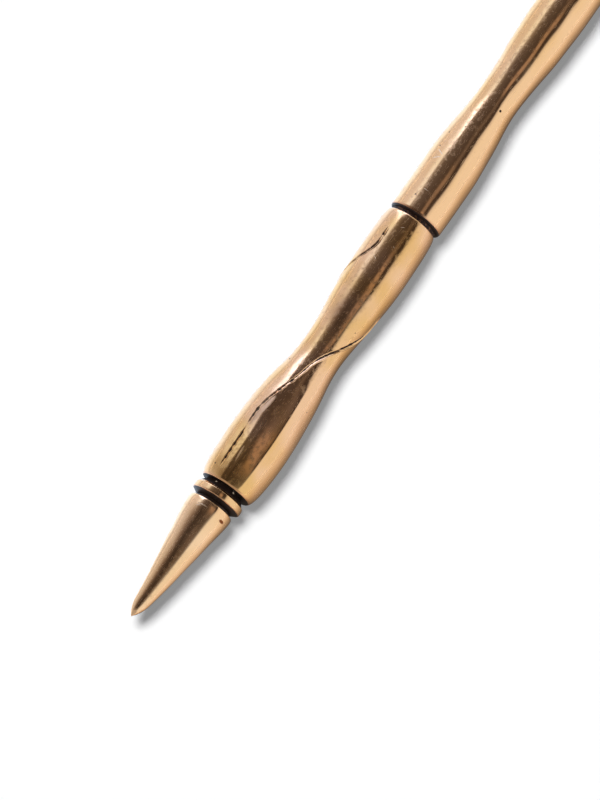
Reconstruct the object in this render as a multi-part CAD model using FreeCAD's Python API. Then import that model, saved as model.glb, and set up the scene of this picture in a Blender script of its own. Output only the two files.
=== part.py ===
"""A Roman writing stylus of cast and turned bronze, in its separate pieces.

From the tip backwards it is a conical point, a bead, a waisted grip with two
winding incised lines, the dark collar of a dowel, a waisted shaft, a second bead
and a flat eraser. The point and the eraser have tangs that pass through their
beads into blind sockets, and the dowel fills a socket in each of the two long
sections. The stylus lies along X with its tip at the low end. The origin is at
the middle of its box, on the surface it rests on, and +Z is up.
All sizes are in millimetres and all angles in degrees.
"""

import FreeCAD
import Part
import math
import os

# Writing point: a rounded nose that runs into a long cone, and a rounded shoulder.
NOSE_LENGTH = 2.4
NOSE_RADIUS = 1.09
NOSE_BLUNTNESS = 0.9
CONE_LENGTH = 15.0
POINT_SHOULDER_RADIUS = 3.37
POINT_SHOULDER_ROUND_LENGTH = 2.6
POINT_SHOULDER_ROUND_HEIGHT = 0.42

# Necks, tangs and sockets, the same at both ends of the stylus.
NECK_LENGTH = 0.35
NECK_RADIUS = 2.45
TANG_RADIUS = 1.5
TANG_REACH = 9.5
TANG_END_CHAMFER = 0.3
SOCKET_CLEARANCE = 0.04
SOCKET_END_ROOM = 0.5
SOCKET_DRILL_ANGLE = 118.0

# Beads: a hub, a steep front flank, a rounded crest and a longer rear flank.
BEAD_WIDTH = 2.45
BEAD_HUB_RADIUS = 2.55
BEAD_FRONT_FLANK_WIDTH = 0.5
BEAD_CREST_WIDTH = 0.95
BEAD_FLANK_RADIUS = 3.38
BEAD_CREST_RADIUS = 3.53

# Grip: front face, belly, waist, swell and rear face. A flatness pair gives the shares
# of a run over which its outline keeps the direction that it has at its two ends.
GRIP_FRONT_FACE_RADIUS = 3.3
GRIP_FRONT_TO_BELLY = 7.5
GRIP_BELLY_RADIUS = 4.33
GRIP_BELLY_TO_WAIST = 14.5
GRIP_WAIST_RADIUS = 2.97
GRIP_WAIST_TO_SWELL = 13.4
GRIP_SWELL_RADIUS = 3.89
GRIP_SWELL_TO_REAR = 7.0
GRIP_REAR_FACE_RADIUS = 3.4
GRIP_FRONT_FLATNESS = (0.85, 0.47)
GRIP_BELLY_FLATNESS = (0.33, 0.14)
GRIP_WAIST_FLATNESS = (0.14, 0.3)
GRIP_SWELL_FLATNESS = (0.45, 0.9)

# Incised lines on the grip: each runs straight, drifts round the grip before the waist,
# winds round it at the waist and runs straight again. The second repeats the first
# further back and round the grip.
LINE_COUNT = 2
LINE_FRONT_MARGIN = 2.8
LINE_DRIFT_BEFORE_WAIST = 9.9
LINE_DRIFT_LENGTH = 10.5
LINE_DRIFT_ANGLE = 33.0
LINE_WIND_BEFORE_WAIST = 1.4
LINE_WIND_LENGTH = 7.5
LINE_WIND_ANGLE = 80.0
LINE_STEP = 9.8
LINE_LENGTH = 27.5
LINE_START_ANGLE = -28.0
LINE_STEP_ANGLE = -112.0
LINE_POINTS = 21
GRAVER_ANGLE = 120.0
GRAVER_HEIGHT = 0.3
GRAVER_DEPTH = 0.15
GRAVER_LIFT = 0.06
GRAVER_TAPER = 3.5

# Dowel between grip and shaft, with the collar that shows as a dark ring.
COLLAR_WIDTH = 0.5
COLLAR_RADIUS = 3.25
DOWEL_RADIUS = 1.5
DOWEL_REACH = 9.0

# Shaft: front face, straight length, waist, swell and rear face.
SHAFT_FRONT_FACE_RADIUS = 3.4
SHAFT_FACE_TO_STRAIGHT = 0.65
SHAFT_STRAIGHT_LENGTH = 7.3
SHAFT_STRAIGHT_RADIUS = 3.74
SHAFT_STRAIGHT_TO_WAIST = 11.5
SHAFT_WAIST_RADIUS = 2.89
SHAFT_WAIST_TO_SWELL = 14.5
SHAFT_SWELL_RADIUS = 3.64
SHAFT_SWELL_TO_REAR = 6.9
SHAFT_REAR_FACE_RADIUS = 3.15
SHAFT_FRONT_FLATNESS = (0.7, 0.55)
SHAFT_STRAIGHT_FLATNESS = (0.25, 0.12)
SHAFT_WAIST_FLATNESS = (0.16, 0.29)
SHAFT_SWELL_FLATNESS = (0.6, 0.9)

# Eraser: a round shoulder and neck that flatten and flare into a thin straight blade.
ERASER_FACE_RADIUS = 2.7
ERASER_FACE_TO_SHOULDER = 1.2
ERASER_SHOULDER_RADIUS = 3.0
ERASER_SHOULDER_TO_NECK = 5.3
ERASER_NECK_RADIUS = 2.0
ERASER_NECK_TO_CORNER = 16.7
ERASER_HALF_WIDTH = 5.3
ERASER_CORNER_ROUND = 1.0
ERASER_FORGED_LENGTH = 12.5
ERASER_ROOT_THICKNESS = 1.6
ERASER_EDGE_THICKNESS = 0.7
ERASER_FACE_FLATNESS = (0.6, 0.5)
ERASER_SHOULDER_FLATNESS = (0.1, 0.3)
ERASER_NECK_FLATNESS = (0.12, 0.5)
ERASER_FORGE_FLATNESS = (0.3, 0.45)

# Room that a cutting or limiting solid has past the metal it cuts.
CUTTER_ROOM = 1.0

# Halvings that find a place on a curve to far finer than any size here.
SEARCH_STEPS = 40

AXIS = FreeCAD.Vector(1, 0, 0)


def at(along, radius):
    """The point of an outline at a distance along the axis and a radius above it."""
    return FreeCAD.Vector(along, 0, radius)


def between(first, second, share):
    """The point that lies this share of the way from the first to the second."""
    return first + (second - first) * share


def line(first, second):
    """A straight edge between two points."""
    return Part.LineSegment(first, second).toShape()


def bend(*poles):
    """A smooth curve that starts at the first pole, ends at the last and leans to the rest."""
    curve = Part.BezierCurve()
    curve.setPoles(list(poles))
    return curve


class Outline:
    """The outline of a turned piece, drawn run by run from its front face to its rear one.

    It is level at each ring where two runs meet, and square to the axis at its faces.
    """

    def __init__(self, along, radius):
        """Start at the rim of the front face."""
        self.front = at(along, radius)
        self.rear = self.front
        self.curves = []

    def run_on(self, *curves):
        """Add curves at the rear, and give back the outline."""
        self.curves += curves
        self.rear = curves[-1].value(curves[-1].LastParameter)
        return self

    def straight(self, length, radius):
        """A straight run: a cylinder or a cone."""
        return self.run_on(Part.LineSegment(self.rear, at(self.rear.x + length, radius)))

    def from_face(self, length, radius, flatness):
        """The first run: it rises square to the axis and becomes level at its ring."""
        rising, level = flatness
        end = at(self.rear.x + length, radius)
        over_face = at(self.rear.x, radius)
        return self.run_on(
            bend(self.rear, between(self.rear, over_face, rising), between(end, over_face, level), end)
        )

    def ogee(self, length, radius, flatness):
        """A run from ring to ring, level at both, in two bends that meet on a slope."""
        leaving, arriving = flatness
        end = at(self.rear.x + length, radius)
        first = at(self.rear.x + leaving * length, self.rear.z)
        second = at(end.x - arriving * length, radius)
        middle = between(first, second, leaving / (leaving + arriving))
        return self.run_on(bend(self.rear, first, middle), bend(middle, second, end))

    def to_face(self, length, radius, flatness):
        """The last run: level at its ring, it ends square to the axis at the rear face's rim."""
        level, falling = flatness
        end = at(self.rear.x + length, radius)
        over_face = at(end.x, self.rear.z)
        return self.run_on(
            bend(self.rear, between(self.rear, over_face, level), between(end, over_face, falling), end)
        )

    def edges(self):
        """The outline as edges, from front to rear."""
        return [curve.toShape() for curve in self.curves]

    def solid(self):
        """The outline turned about the axis, closed by flat faces at both ends."""
        front = line(at(self.front.x, 0), self.front)
        rear = line(self.rear, at(self.rear.x, 0))
        return revolved([front, *self.edges(), rear, line(at(self.rear.x, 0), at(self.front.x, 0))])

    def radius_at(self, along):
        """The outline's radius at a distance along the axis."""
        for curve in self.curves:
            if along <= curve.value(curve.LastParameter).x:
                break
        low, high = curve.FirstParameter, curve.LastParameter
        for _ in range(SEARCH_STEPS):
            middle = (low + high) / 2
            if curve.value(middle).x < along:
                low = middle
            else:
                high = middle
        return curve.value(low).z


def revolved(edges):
    """The solid that a closed outline sweeps when it is turned about the axis."""
    face = Part.Face(Part.Wire(edges))
    return face.revolve(FreeCAD.Vector(0, 0, 0), AXIS, 360)


def rod(start, length, radius):
    """A plain cylinder on the axis. A negative length runs towards the tip."""
    return Part.makeCylinder(radius, abs(length), at(start, 0), AXIS * math.copysign(1, length))


def tang(start, length, radius):
    """A rod with a chamfered far end, for a socket. A negative length runs towards the tip."""
    sign = math.copysign(1, length)
    straight_end = start + length - sign * TANG_END_CHAMFER
    body = rod(start, straight_end - start, radius)
    end_radius = radius - TANG_END_CHAMFER
    end = Part.makeCone(radius, end_radius, TANG_END_CHAMFER, at(straight_end, 0), AXIS * sign)
    return body.fuse(end)


def socket(mouth, length, tang_radius):
    """The drilled hole that takes a tang. A negative length runs towards the tip."""
    sign = math.copysign(1, length)
    radius = tang_radius + SOCKET_CLEARANCE
    bottom = mouth + length + sign * SOCKET_END_ROOM
    tip_length = radius / math.tan(math.radians(SOCKET_DRILL_ANGLE / 2))
    hole = rod(mouth, bottom - mouth, radius)
    tip = Part.makeCone(radius, 0, tip_length, at(bottom, 0), AXIS * sign)
    return hole.fuse(tip)


# Faces along the axis, measured from the tip, and the outlines between them.
POINT_FACE = NOSE_LENGTH + CONE_LENGTH
POINT_BEAD_FRONT = POINT_FACE + NECK_LENGTH
GRIP_FRONT = POINT_BEAD_FRONT + BEAD_WIDTH
GRIP_WAIST = GRIP_FRONT + GRIP_FRONT_TO_BELLY + GRIP_BELLY_TO_WAIST

GRIP = (
    Outline(GRIP_FRONT, GRIP_FRONT_FACE_RADIUS)
    .from_face(GRIP_FRONT_TO_BELLY, GRIP_BELLY_RADIUS, GRIP_FRONT_FLATNESS)
    .ogee(GRIP_BELLY_TO_WAIST, GRIP_WAIST_RADIUS, GRIP_BELLY_FLATNESS)
    .ogee(GRIP_WAIST_TO_SWELL, GRIP_SWELL_RADIUS, GRIP_WAIST_FLATNESS)
    .to_face(GRIP_SWELL_TO_REAR, GRIP_REAR_FACE_RADIUS, GRIP_SWELL_FLATNESS)
)
SHAFT = (
    Outline(GRIP.rear.x + COLLAR_WIDTH, SHAFT_FRONT_FACE_RADIUS)
    .from_face(SHAFT_FACE_TO_STRAIGHT, SHAFT_STRAIGHT_RADIUS, SHAFT_FRONT_FLATNESS)
    .straight(SHAFT_STRAIGHT_LENGTH, SHAFT_STRAIGHT_RADIUS)
    .ogee(SHAFT_STRAIGHT_TO_WAIST, SHAFT_WAIST_RADIUS, SHAFT_STRAIGHT_FLATNESS)
    .ogee(SHAFT_WAIST_TO_SWELL, SHAFT_SWELL_RADIUS, SHAFT_WAIST_FLATNESS)
    .to_face(SHAFT_SWELL_TO_REAR, SHAFT_REAR_FACE_RADIUS, SHAFT_SWELL_FLATNESS)
)
ERASER_BEAD_REAR = SHAFT.rear.x + BEAD_WIDTH
ERASER = (
    Outline(ERASER_BEAD_REAR + NECK_LENGTH, ERASER_FACE_RADIUS)
    .from_face(ERASER_FACE_TO_SHOULDER, ERASER_SHOULDER_RADIUS, ERASER_FACE_FLATNESS)
    .ogee(ERASER_SHOULDER_TO_NECK, ERASER_NECK_RADIUS, ERASER_SHOULDER_FLATNESS)
    .ogee(ERASER_NECK_TO_CORNER, ERASER_HALF_WIDTH, ERASER_NECK_FLATNESS)
)
STYLUS_LENGTH = ERASER.rear.x + ERASER_CORNER_ROUND
AXIS_HEIGHT = max(
    POINT_SHOULDER_RADIUS,
    BEAD_CREST_RADIUS,
    GRIP_BELLY_RADIUS,
    GRIP_SWELL_RADIUS,
    SHAFT_STRAIGHT_RADIUS,
    SHAFT_SWELL_RADIUS,
    ERASER_SHOULDER_RADIUS,
)


def writing_point():
    """The point: nose, cone and shoulder, with the neck and tang that carry the bead."""
    nose_end = at(NOSE_LENGTH, NOSE_RADIUS)
    corner = at(POINT_FACE, POINT_SHOULDER_RADIUS)
    nose_corner = between(nose_end, corner, (NOSE_BLUNTNESS - NOSE_LENGTH) / CONE_LENGTH)
    cone_end = between(corner, nose_end, POINT_SHOULDER_ROUND_LENGTH / CONE_LENGTH)
    rim = at(POINT_FACE, POINT_SHOULDER_RADIUS - POINT_SHOULDER_ROUND_HEIGHT)
    cone = revolved(
        [
            bend(at(0, 0), nose_corner, nose_end).toShape(),
            line(nose_end, cone_end),
            bend(cone_end, corner, rim).toShape(),
            line(rim, at(POINT_FACE, 0)),
            line(at(POINT_FACE, 0), at(0, 0)),
        ]
    )
    neck = rod(POINT_FACE, NECK_LENGTH, NECK_RADIUS)
    stem = tang(POINT_BEAD_FRONT, BEAD_WIDTH + TANG_REACH, TANG_RADIUS)
    return cone.fuse([neck, stem]).removeSplitter()


def bead(front):
    """A bead that is threaded over a tang: hub faces, sloping flanks and a rounded crest."""
    rear = front + BEAD_WIDTH
    bore = TANG_RADIUS + SOCKET_CLEARANCE
    crest_front = at(front + BEAD_FRONT_FLANK_WIDTH, BEAD_FLANK_RADIUS)
    crest_rear = at(crest_front.x + BEAD_CREST_WIDTH, BEAD_FLANK_RADIUS)
    crest_top = at((crest_front.x + crest_rear.x) / 2, BEAD_CREST_RADIUS)
    return revolved(
        [
            line(at(front, bore), at(front, BEAD_HUB_RADIUS)),
            line(at(front, BEAD_HUB_RADIUS), crest_front),
            Part.Arc(crest_front, crest_top, crest_rear).toShape(),
            line(crest_rear, at(rear, BEAD_HUB_RADIUS)),
            line(at(rear, BEAD_HUB_RADIUS), at(rear, bore)),
            line(at(rear, bore), at(front, bore)),
        ]
    )


def eased(share):
    """A share from 0 to 1 that starts and ends gently. Past either end it stays there."""
    held = min(max(share, 0.0), 1.0)
    return held * held * (3 - 2 * held)


def around(along, angle, radius):
    """The point at this distance along the axis, angle from the top and radius."""
    turn = math.radians(angle)
    return FreeCAD.Vector(along, -radius * math.sin(turn), radius * math.cos(turn))


def line_angle(along):
    """How far the first line has turned round the grip at a distance along the axis."""
    drifted = eased((along - GRIP_WAIST + LINE_DRIFT_BEFORE_WAIST) / LINE_DRIFT_LENGTH)
    wound = eased((along - GRIP_WAIST + LINE_WIND_BEFORE_WAIST) / LINE_WIND_LENGTH)
    return LINE_START_ANGLE + LINE_DRIFT_ANGLE * drifted + LINE_WIND_ANGLE * wound


def graver_path(number):
    """The points that the graver's tip passes for one incised line."""
    back = number * LINE_STEP
    start = GRIP_FRONT + LINE_FRONT_MARGIN + back
    points = []
    for step in range(LINE_POINTS):
        gone = LINE_LENGTH * step / (LINE_POINTS - 1)
        along = start + gone
        angle = line_angle(along - back) + number * LINE_STEP_ANGLE
        pressed = eased(min(gone, LINE_LENGTH - gone) / GRAVER_TAPER)
        depth = pressed * GRAVER_DEPTH - (1 - pressed) * GRAVER_LIFT
        points.append(around(along, angle, GRIP.radius_at(along) - depth))
    return points


def graver_cut(number):
    """The solid that the graver's V-shaped edge sweeps for one incised line."""
    path = graver_path(number)
    half_width = GRAVER_HEIGHT * math.tan(math.radians(GRAVER_ANGLE / 2))
    sections = []
    for before, tip, after in zip([path[0], *path], path, [*path[1:], path[-1]]):
        outward = (tip - at(tip.x, 0)).normalize()
        sideways = (after - before).cross(outward).normalize()
        top = tip + outward * GRAVER_HEIGHT
        left = top + sideways * half_width
        right = top - sideways * half_width
        sections.append(Part.makePolygon([tip, left, right, tip]))
    return Part.makeLoft(sections, True)


def grip():
    """The waisted grip, with a socket at each end and its incised lines."""
    sockets = [
        socket(GRIP.front.x, TANG_REACH, TANG_RADIUS),
        socket(GRIP.rear.x, -DOWEL_REACH, DOWEL_RADIUS),
    ]
    body = GRIP.solid()
    for cut in sockets + [graver_cut(number) for number in range(LINE_COUNT)]:
        body = body.cut(cut)
    return body


def joint_dowel():
    """The dowel that joins grip and shaft, with its collar between them."""
    collar = rod(GRIP.rear.x, COLLAR_WIDTH, COLLAR_RADIUS)
    front = tang(GRIP.rear.x, -DOWEL_REACH, DOWEL_RADIUS)
    rear = tang(SHAFT.front.x, DOWEL_REACH, DOWEL_RADIUS)
    return collar.fuse([front, rear]).removeSplitter()


def shaft():
    """The waisted shaft, with a socket at each end."""
    body = SHAFT.solid()
    body = body.cut(socket(SHAFT.front.x, DOWEL_REACH, DOWEL_RADIUS))
    return body.cut(socket(SHAFT.rear.x, -TANG_REACH, TANG_RADIUS))


def eraser_slab():
    """The wedge between the hammered faces: full at the shoulder, thin at the edge."""
    front = ERASER.front.x
    top = ERASER_SHOULDER_RADIUS + CUTTER_ROOM
    root = front + ERASER_FORGED_LENGTH
    end = STYLUS_LENGTH + CUTTER_ROOM
    root_height = ERASER_ROOT_THICKNESS / 2
    slope = (ERASER_ROOT_THICKNESS - ERASER_EDGE_THICKNESS) / 2 / (STYLUS_LENGTH - root)
    leaving, arriving = ERASER_FORGE_FLATNESS
    level_end = front + leaving * ERASER_FORGED_LENGTH
    slope_start = root - arriving * ERASER_FORGED_LENGTH

    def face_edges(side):
        """The edges of one face of the wedge, from the shoulder to the end."""
        root_point = at(root, side * root_height)
        lean = at(slope_start, side * (root_height + slope * (root - slope_start)))
        end_point = at(end, side * (root_height - slope * (end - root)))
        swept_in = bend(at(front, side * top), at(level_end, side * top), lean, root_point)
        return [swept_in.toShape(), line(root_point, end_point)]

    upper = face_edges(1)
    lower = face_edges(-1)
    ends = [
        line(upper[0].valueAt(upper[0].FirstParameter), lower[0].valueAt(lower[0].FirstParameter)),
        line(upper[1].valueAt(upper[1].LastParameter), lower[1].valueAt(lower[1].LastParameter)),
    ]
    outline = Part.Face(Part.Wire(Part.sortEdges(upper + lower + ends)[0]))
    half_width = max(ERASER_HALF_WIDTH, ERASER_SHOULDER_RADIUS) + CUTTER_ROOM
    outline.translate(FreeCAD.Vector(0, -half_width, 0))
    return outline.extrude(FreeCAD.Vector(0, 2 * half_width, 0))


def eraser():
    """The eraser: shoulder, neck and flat blade, with the neck and tang that carry the bead."""
    corner = at(STYLUS_LENGTH, ERASER.rear.z)
    end_rim = at(STYLUS_LENGTH, ERASER.rear.z - ERASER_CORNER_ROUND)
    flare = revolved(
        [
            line(at(ERASER.front.x, 0), ERASER.front),
            *ERASER.edges(),
            bend(ERASER.rear, corner, end_rim).toShape(),
            line(end_rim, at(STYLUS_LENGTH, 0)),
            line(at(STYLUS_LENGTH, 0), at(ERASER.front.x, 0)),
        ]
    )
    blade = flare.common(eraser_slab())
    neck = rod(ERASER.front.x, -NECK_LENGTH, NECK_RADIUS)
    stem = tang(ERASER_BEAD_REAR, -(BEAD_WIDTH + TANG_REACH), TANG_RADIUS)
    return blade.fuse([neck, stem]).removeSplitter()


def pieces():
    """Every piece by name, on the common axis, with the tip at zero."""
    return {
        "writing_point": writing_point(),
        "point_bead": bead(POINT_BEAD_FRONT),
        "grip": grip(),
        "joint_dowel": joint_dowel(),
        "shaft": shaft(),
        "eraser_bead": bead(SHAFT.rear.x),
        "eraser": eraser(),
    }


def main():
    """Build every piece, set it in the part's frame and write it out."""
    os.makedirs("parts", exist_ok=True)
    to_frame = FreeCAD.Vector(-STYLUS_LENGTH / 2, 0, AXIS_HEIGHT)
    for name, piece in pieces().items():
        piece.translate(to_frame)
        print(f"{name}: {len(piece.Solids)} solid, {piece.Volume:.1f} mm3, valid {piece.isValid()}")
        piece.exportStep(f"parts/{name}.step")
    print(f"length {STYLUS_LENGTH:.2f} mm, axis height {AXIS_HEIGHT:.2f} mm")


main()
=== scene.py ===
"""A Roman writing stylus of polished bronze, dressed and lit for its photograph.

Each sub-assembly is a class that holds its sizes in millimetres, as the construction
gives them, and builds its visible skin from them: the turned outline, the unevenness of
hand work, and the incised lines. The stylus lies along X with its tip at the low end.
"""

import logging
import math
from dataclasses import dataclass, field
from enum import Enum
from typing import Any, Optional, Sequence

import bpy
import numpy as np
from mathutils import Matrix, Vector


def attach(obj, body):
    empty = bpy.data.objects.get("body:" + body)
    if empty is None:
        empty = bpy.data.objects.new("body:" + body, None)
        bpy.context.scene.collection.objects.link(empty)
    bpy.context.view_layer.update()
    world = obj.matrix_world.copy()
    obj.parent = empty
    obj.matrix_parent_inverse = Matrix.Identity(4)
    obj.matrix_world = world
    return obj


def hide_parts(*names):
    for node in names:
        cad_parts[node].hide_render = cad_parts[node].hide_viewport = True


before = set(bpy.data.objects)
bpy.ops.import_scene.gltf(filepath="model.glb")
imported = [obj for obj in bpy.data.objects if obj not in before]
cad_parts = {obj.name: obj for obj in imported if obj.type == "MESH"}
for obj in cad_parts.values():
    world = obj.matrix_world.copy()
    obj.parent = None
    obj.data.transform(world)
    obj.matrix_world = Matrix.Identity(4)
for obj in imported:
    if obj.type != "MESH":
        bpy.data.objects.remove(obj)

log = logging.getLogger("stylus")

MILLIMETRE = 0.001
STYLUS_LENGTH = 130.95
AXIS_HEIGHT = 4.33

# Distance between rows of a skin along its outline where it shows, and where it is hidden.
SHOWN_PACE = 0.1
HIDDEN_PACE = 1.2

# Radius that polishing leaves on an edge that the tool cut sharp, and the least turn of
# the outline, in degrees, that makes such an edge.
POLISHED_EDGE = 0.07
SHARP_TURN = 20.0

# Radius up to which a piece is tang or socket and stays true, and the further height over
# which the marks of handwork set in.
TRUE_RADIUS = 1.7
TRUE_FADE = 0.6


class Slot(Enum):
    """The record's material slots."""

    POLISHED = "polished_bronze"
    PATINATED = "patinated_bronze"


class MarkKind(Enum):
    """What a single mark in the metal is."""

    PIT = "pit"
    STAIN = "stain"
    SCRATCH = "scratch"
    SCUFF = "scuff"


@dataclass(frozen=True)
class Mark:
    """One mark on a piece, in millimetres and degrees.

    `along` is measured from the tip, `angle` from the top towards -Y, and `lean` is how far
    the mark's length turns from the stylus's own.
    """

    kind: MarkKind
    along: float
    angle: float
    radius: float
    length: float
    width: float
    lean: float = 0.0

    def centre(self) -> np.ndarray:
        """The mark's middle in the part's frame, in millimetres."""
        return around(self.along, math.radians(self.angle), self.radius)

    def directions(self) -> tuple[np.ndarray, np.ndarray]:
        """Works out how the mark lies.

        Returns:
            The directions of its length and of its width.
        """
        turn, lean = math.radians(self.angle), math.radians(self.lean)
        along = np.array((1.0, 0.0, 0.0))
        sideways = np.array((0.0, -math.cos(turn), -math.sin(turn)))
        length = along * math.cos(lean) + sideways * math.sin(lean)
        width = sideways * math.cos(lean) - along * math.sin(lean)
        return length, width


def around(along: Any, angle: Any, radius: Any) -> np.ndarray:
    """Gives places on the stylus in the part's frame.

    Args:
        along: Distance from the tip, in millimetres, a number or an array.
        angle: Angle from the top towards -Y, in radians.
        radius: Distance from the axis, in millimetres.

    Returns:
        The places, in millimetres, with x, y and z in the last dimension.
    """
    along, angle, radius = np.broadcast_arrays(along, angle, radius)
    return np.stack(
        (
            along - STYLUS_LENGTH / 2,
            -radius * np.sin(angle),
            AXIS_HEIGHT + radius * np.cos(angle),
        ),
        axis=-1,
    )


def eased(share: Any) -> Any:
    """A share held between 0 and 1 that starts and ends gently."""
    held = np.clip(share, 0.0, 1.0)
    return held * held * (3 - 2 * held)


def handworked(rows: np.ndarray) -> np.ndarray:
    """The share of handwork in each row of an outline: none on tangs and in sockets."""
    return eased((rows[:, 1:] - TRUE_RADIUS) / TRUE_FADE)


def near_face(along: np.ndarray, face: float, band: tuple[float, float]) -> np.ndarray:
    """Finds what lies up to a face and a little past it.

    Args:
        along: Distance of each place from the tip, or its negative for what lies behind.
        face: Where the face is, negative too in that case.
        band: How far past the face it ends, and the length over which it fades there.

    Returns:
        A share: 1 up to the face and 0 past the band.
    """
    reach, fade = band
    return eased((face + reach - along) / fade)


def to_linear(code: str) -> tuple[float, float, float, float]:
    """Turns an sRGB hex code to the linear colour that shaders take.

    Args:
        code: The code, with its hash in front.

    Returns:
        Red, green and blue, with full opacity.
    """
    parts = [int(code[place : place + 2], 16) / 255 for place in (1, 3, 5)]
    red, green, blue = [
        part / 12.92 if part <= 0.04045 else ((part + 0.055) / 1.055) ** 2.4 for part in parts
    ]
    return red, green, blue, 1.0


def grey(level: float) -> tuple[float, float, float, float]:
    """A linear grey of this level."""
    return level, level, level, 1.0


def add_node(
    tree: bpy.types.NodeTree,
    kind: str,
    inputs: Optional[dict[Any, Any]] = None,
    stops: Sequence[tuple[float, tuple[float, float, float, float]]] = (),
    **settings: Any,
) -> bpy.types.Node:
    """Adds a node with its settings and links.

    Args:
        tree: The node tree that it joins.
        kind: The node's type.
        inputs: A value, or a socket to link, for each input by name or number.
        stops: Places and colours of a colour ramp.
        settings: The node's own settings.

    Returns:
        The new node.
    """
    made = tree.nodes.new(kind)
    for name, value in settings.items():
        setattr(made, name, value)
    for name, value in (inputs or {}).items():
        if isinstance(value, bpy.types.NodeSocket):
            tree.links.new(value, made.inputs[name])
        else:
            made.inputs[name].default_value = value
    for number, (place, colour) in enumerate(stops):
        elements = made.color_ramp.elements
        stop = elements[number] if number < 2 else elements.new(place)
        stop.position = place
        stop.color = colour
    return made


def new_material(name: str) -> tuple[bpy.types.Material, bpy.types.NodeTree]:
    """Starts a node material.

    Args:
        name: The material's name.

    Returns:
        The material, and its node tree with nothing in it.
    """
    made = bpy.data.materials.new(name)
    made.use_nodes = True
    made.node_tree.nodes.clear()
    return made, made.node_tree


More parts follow.
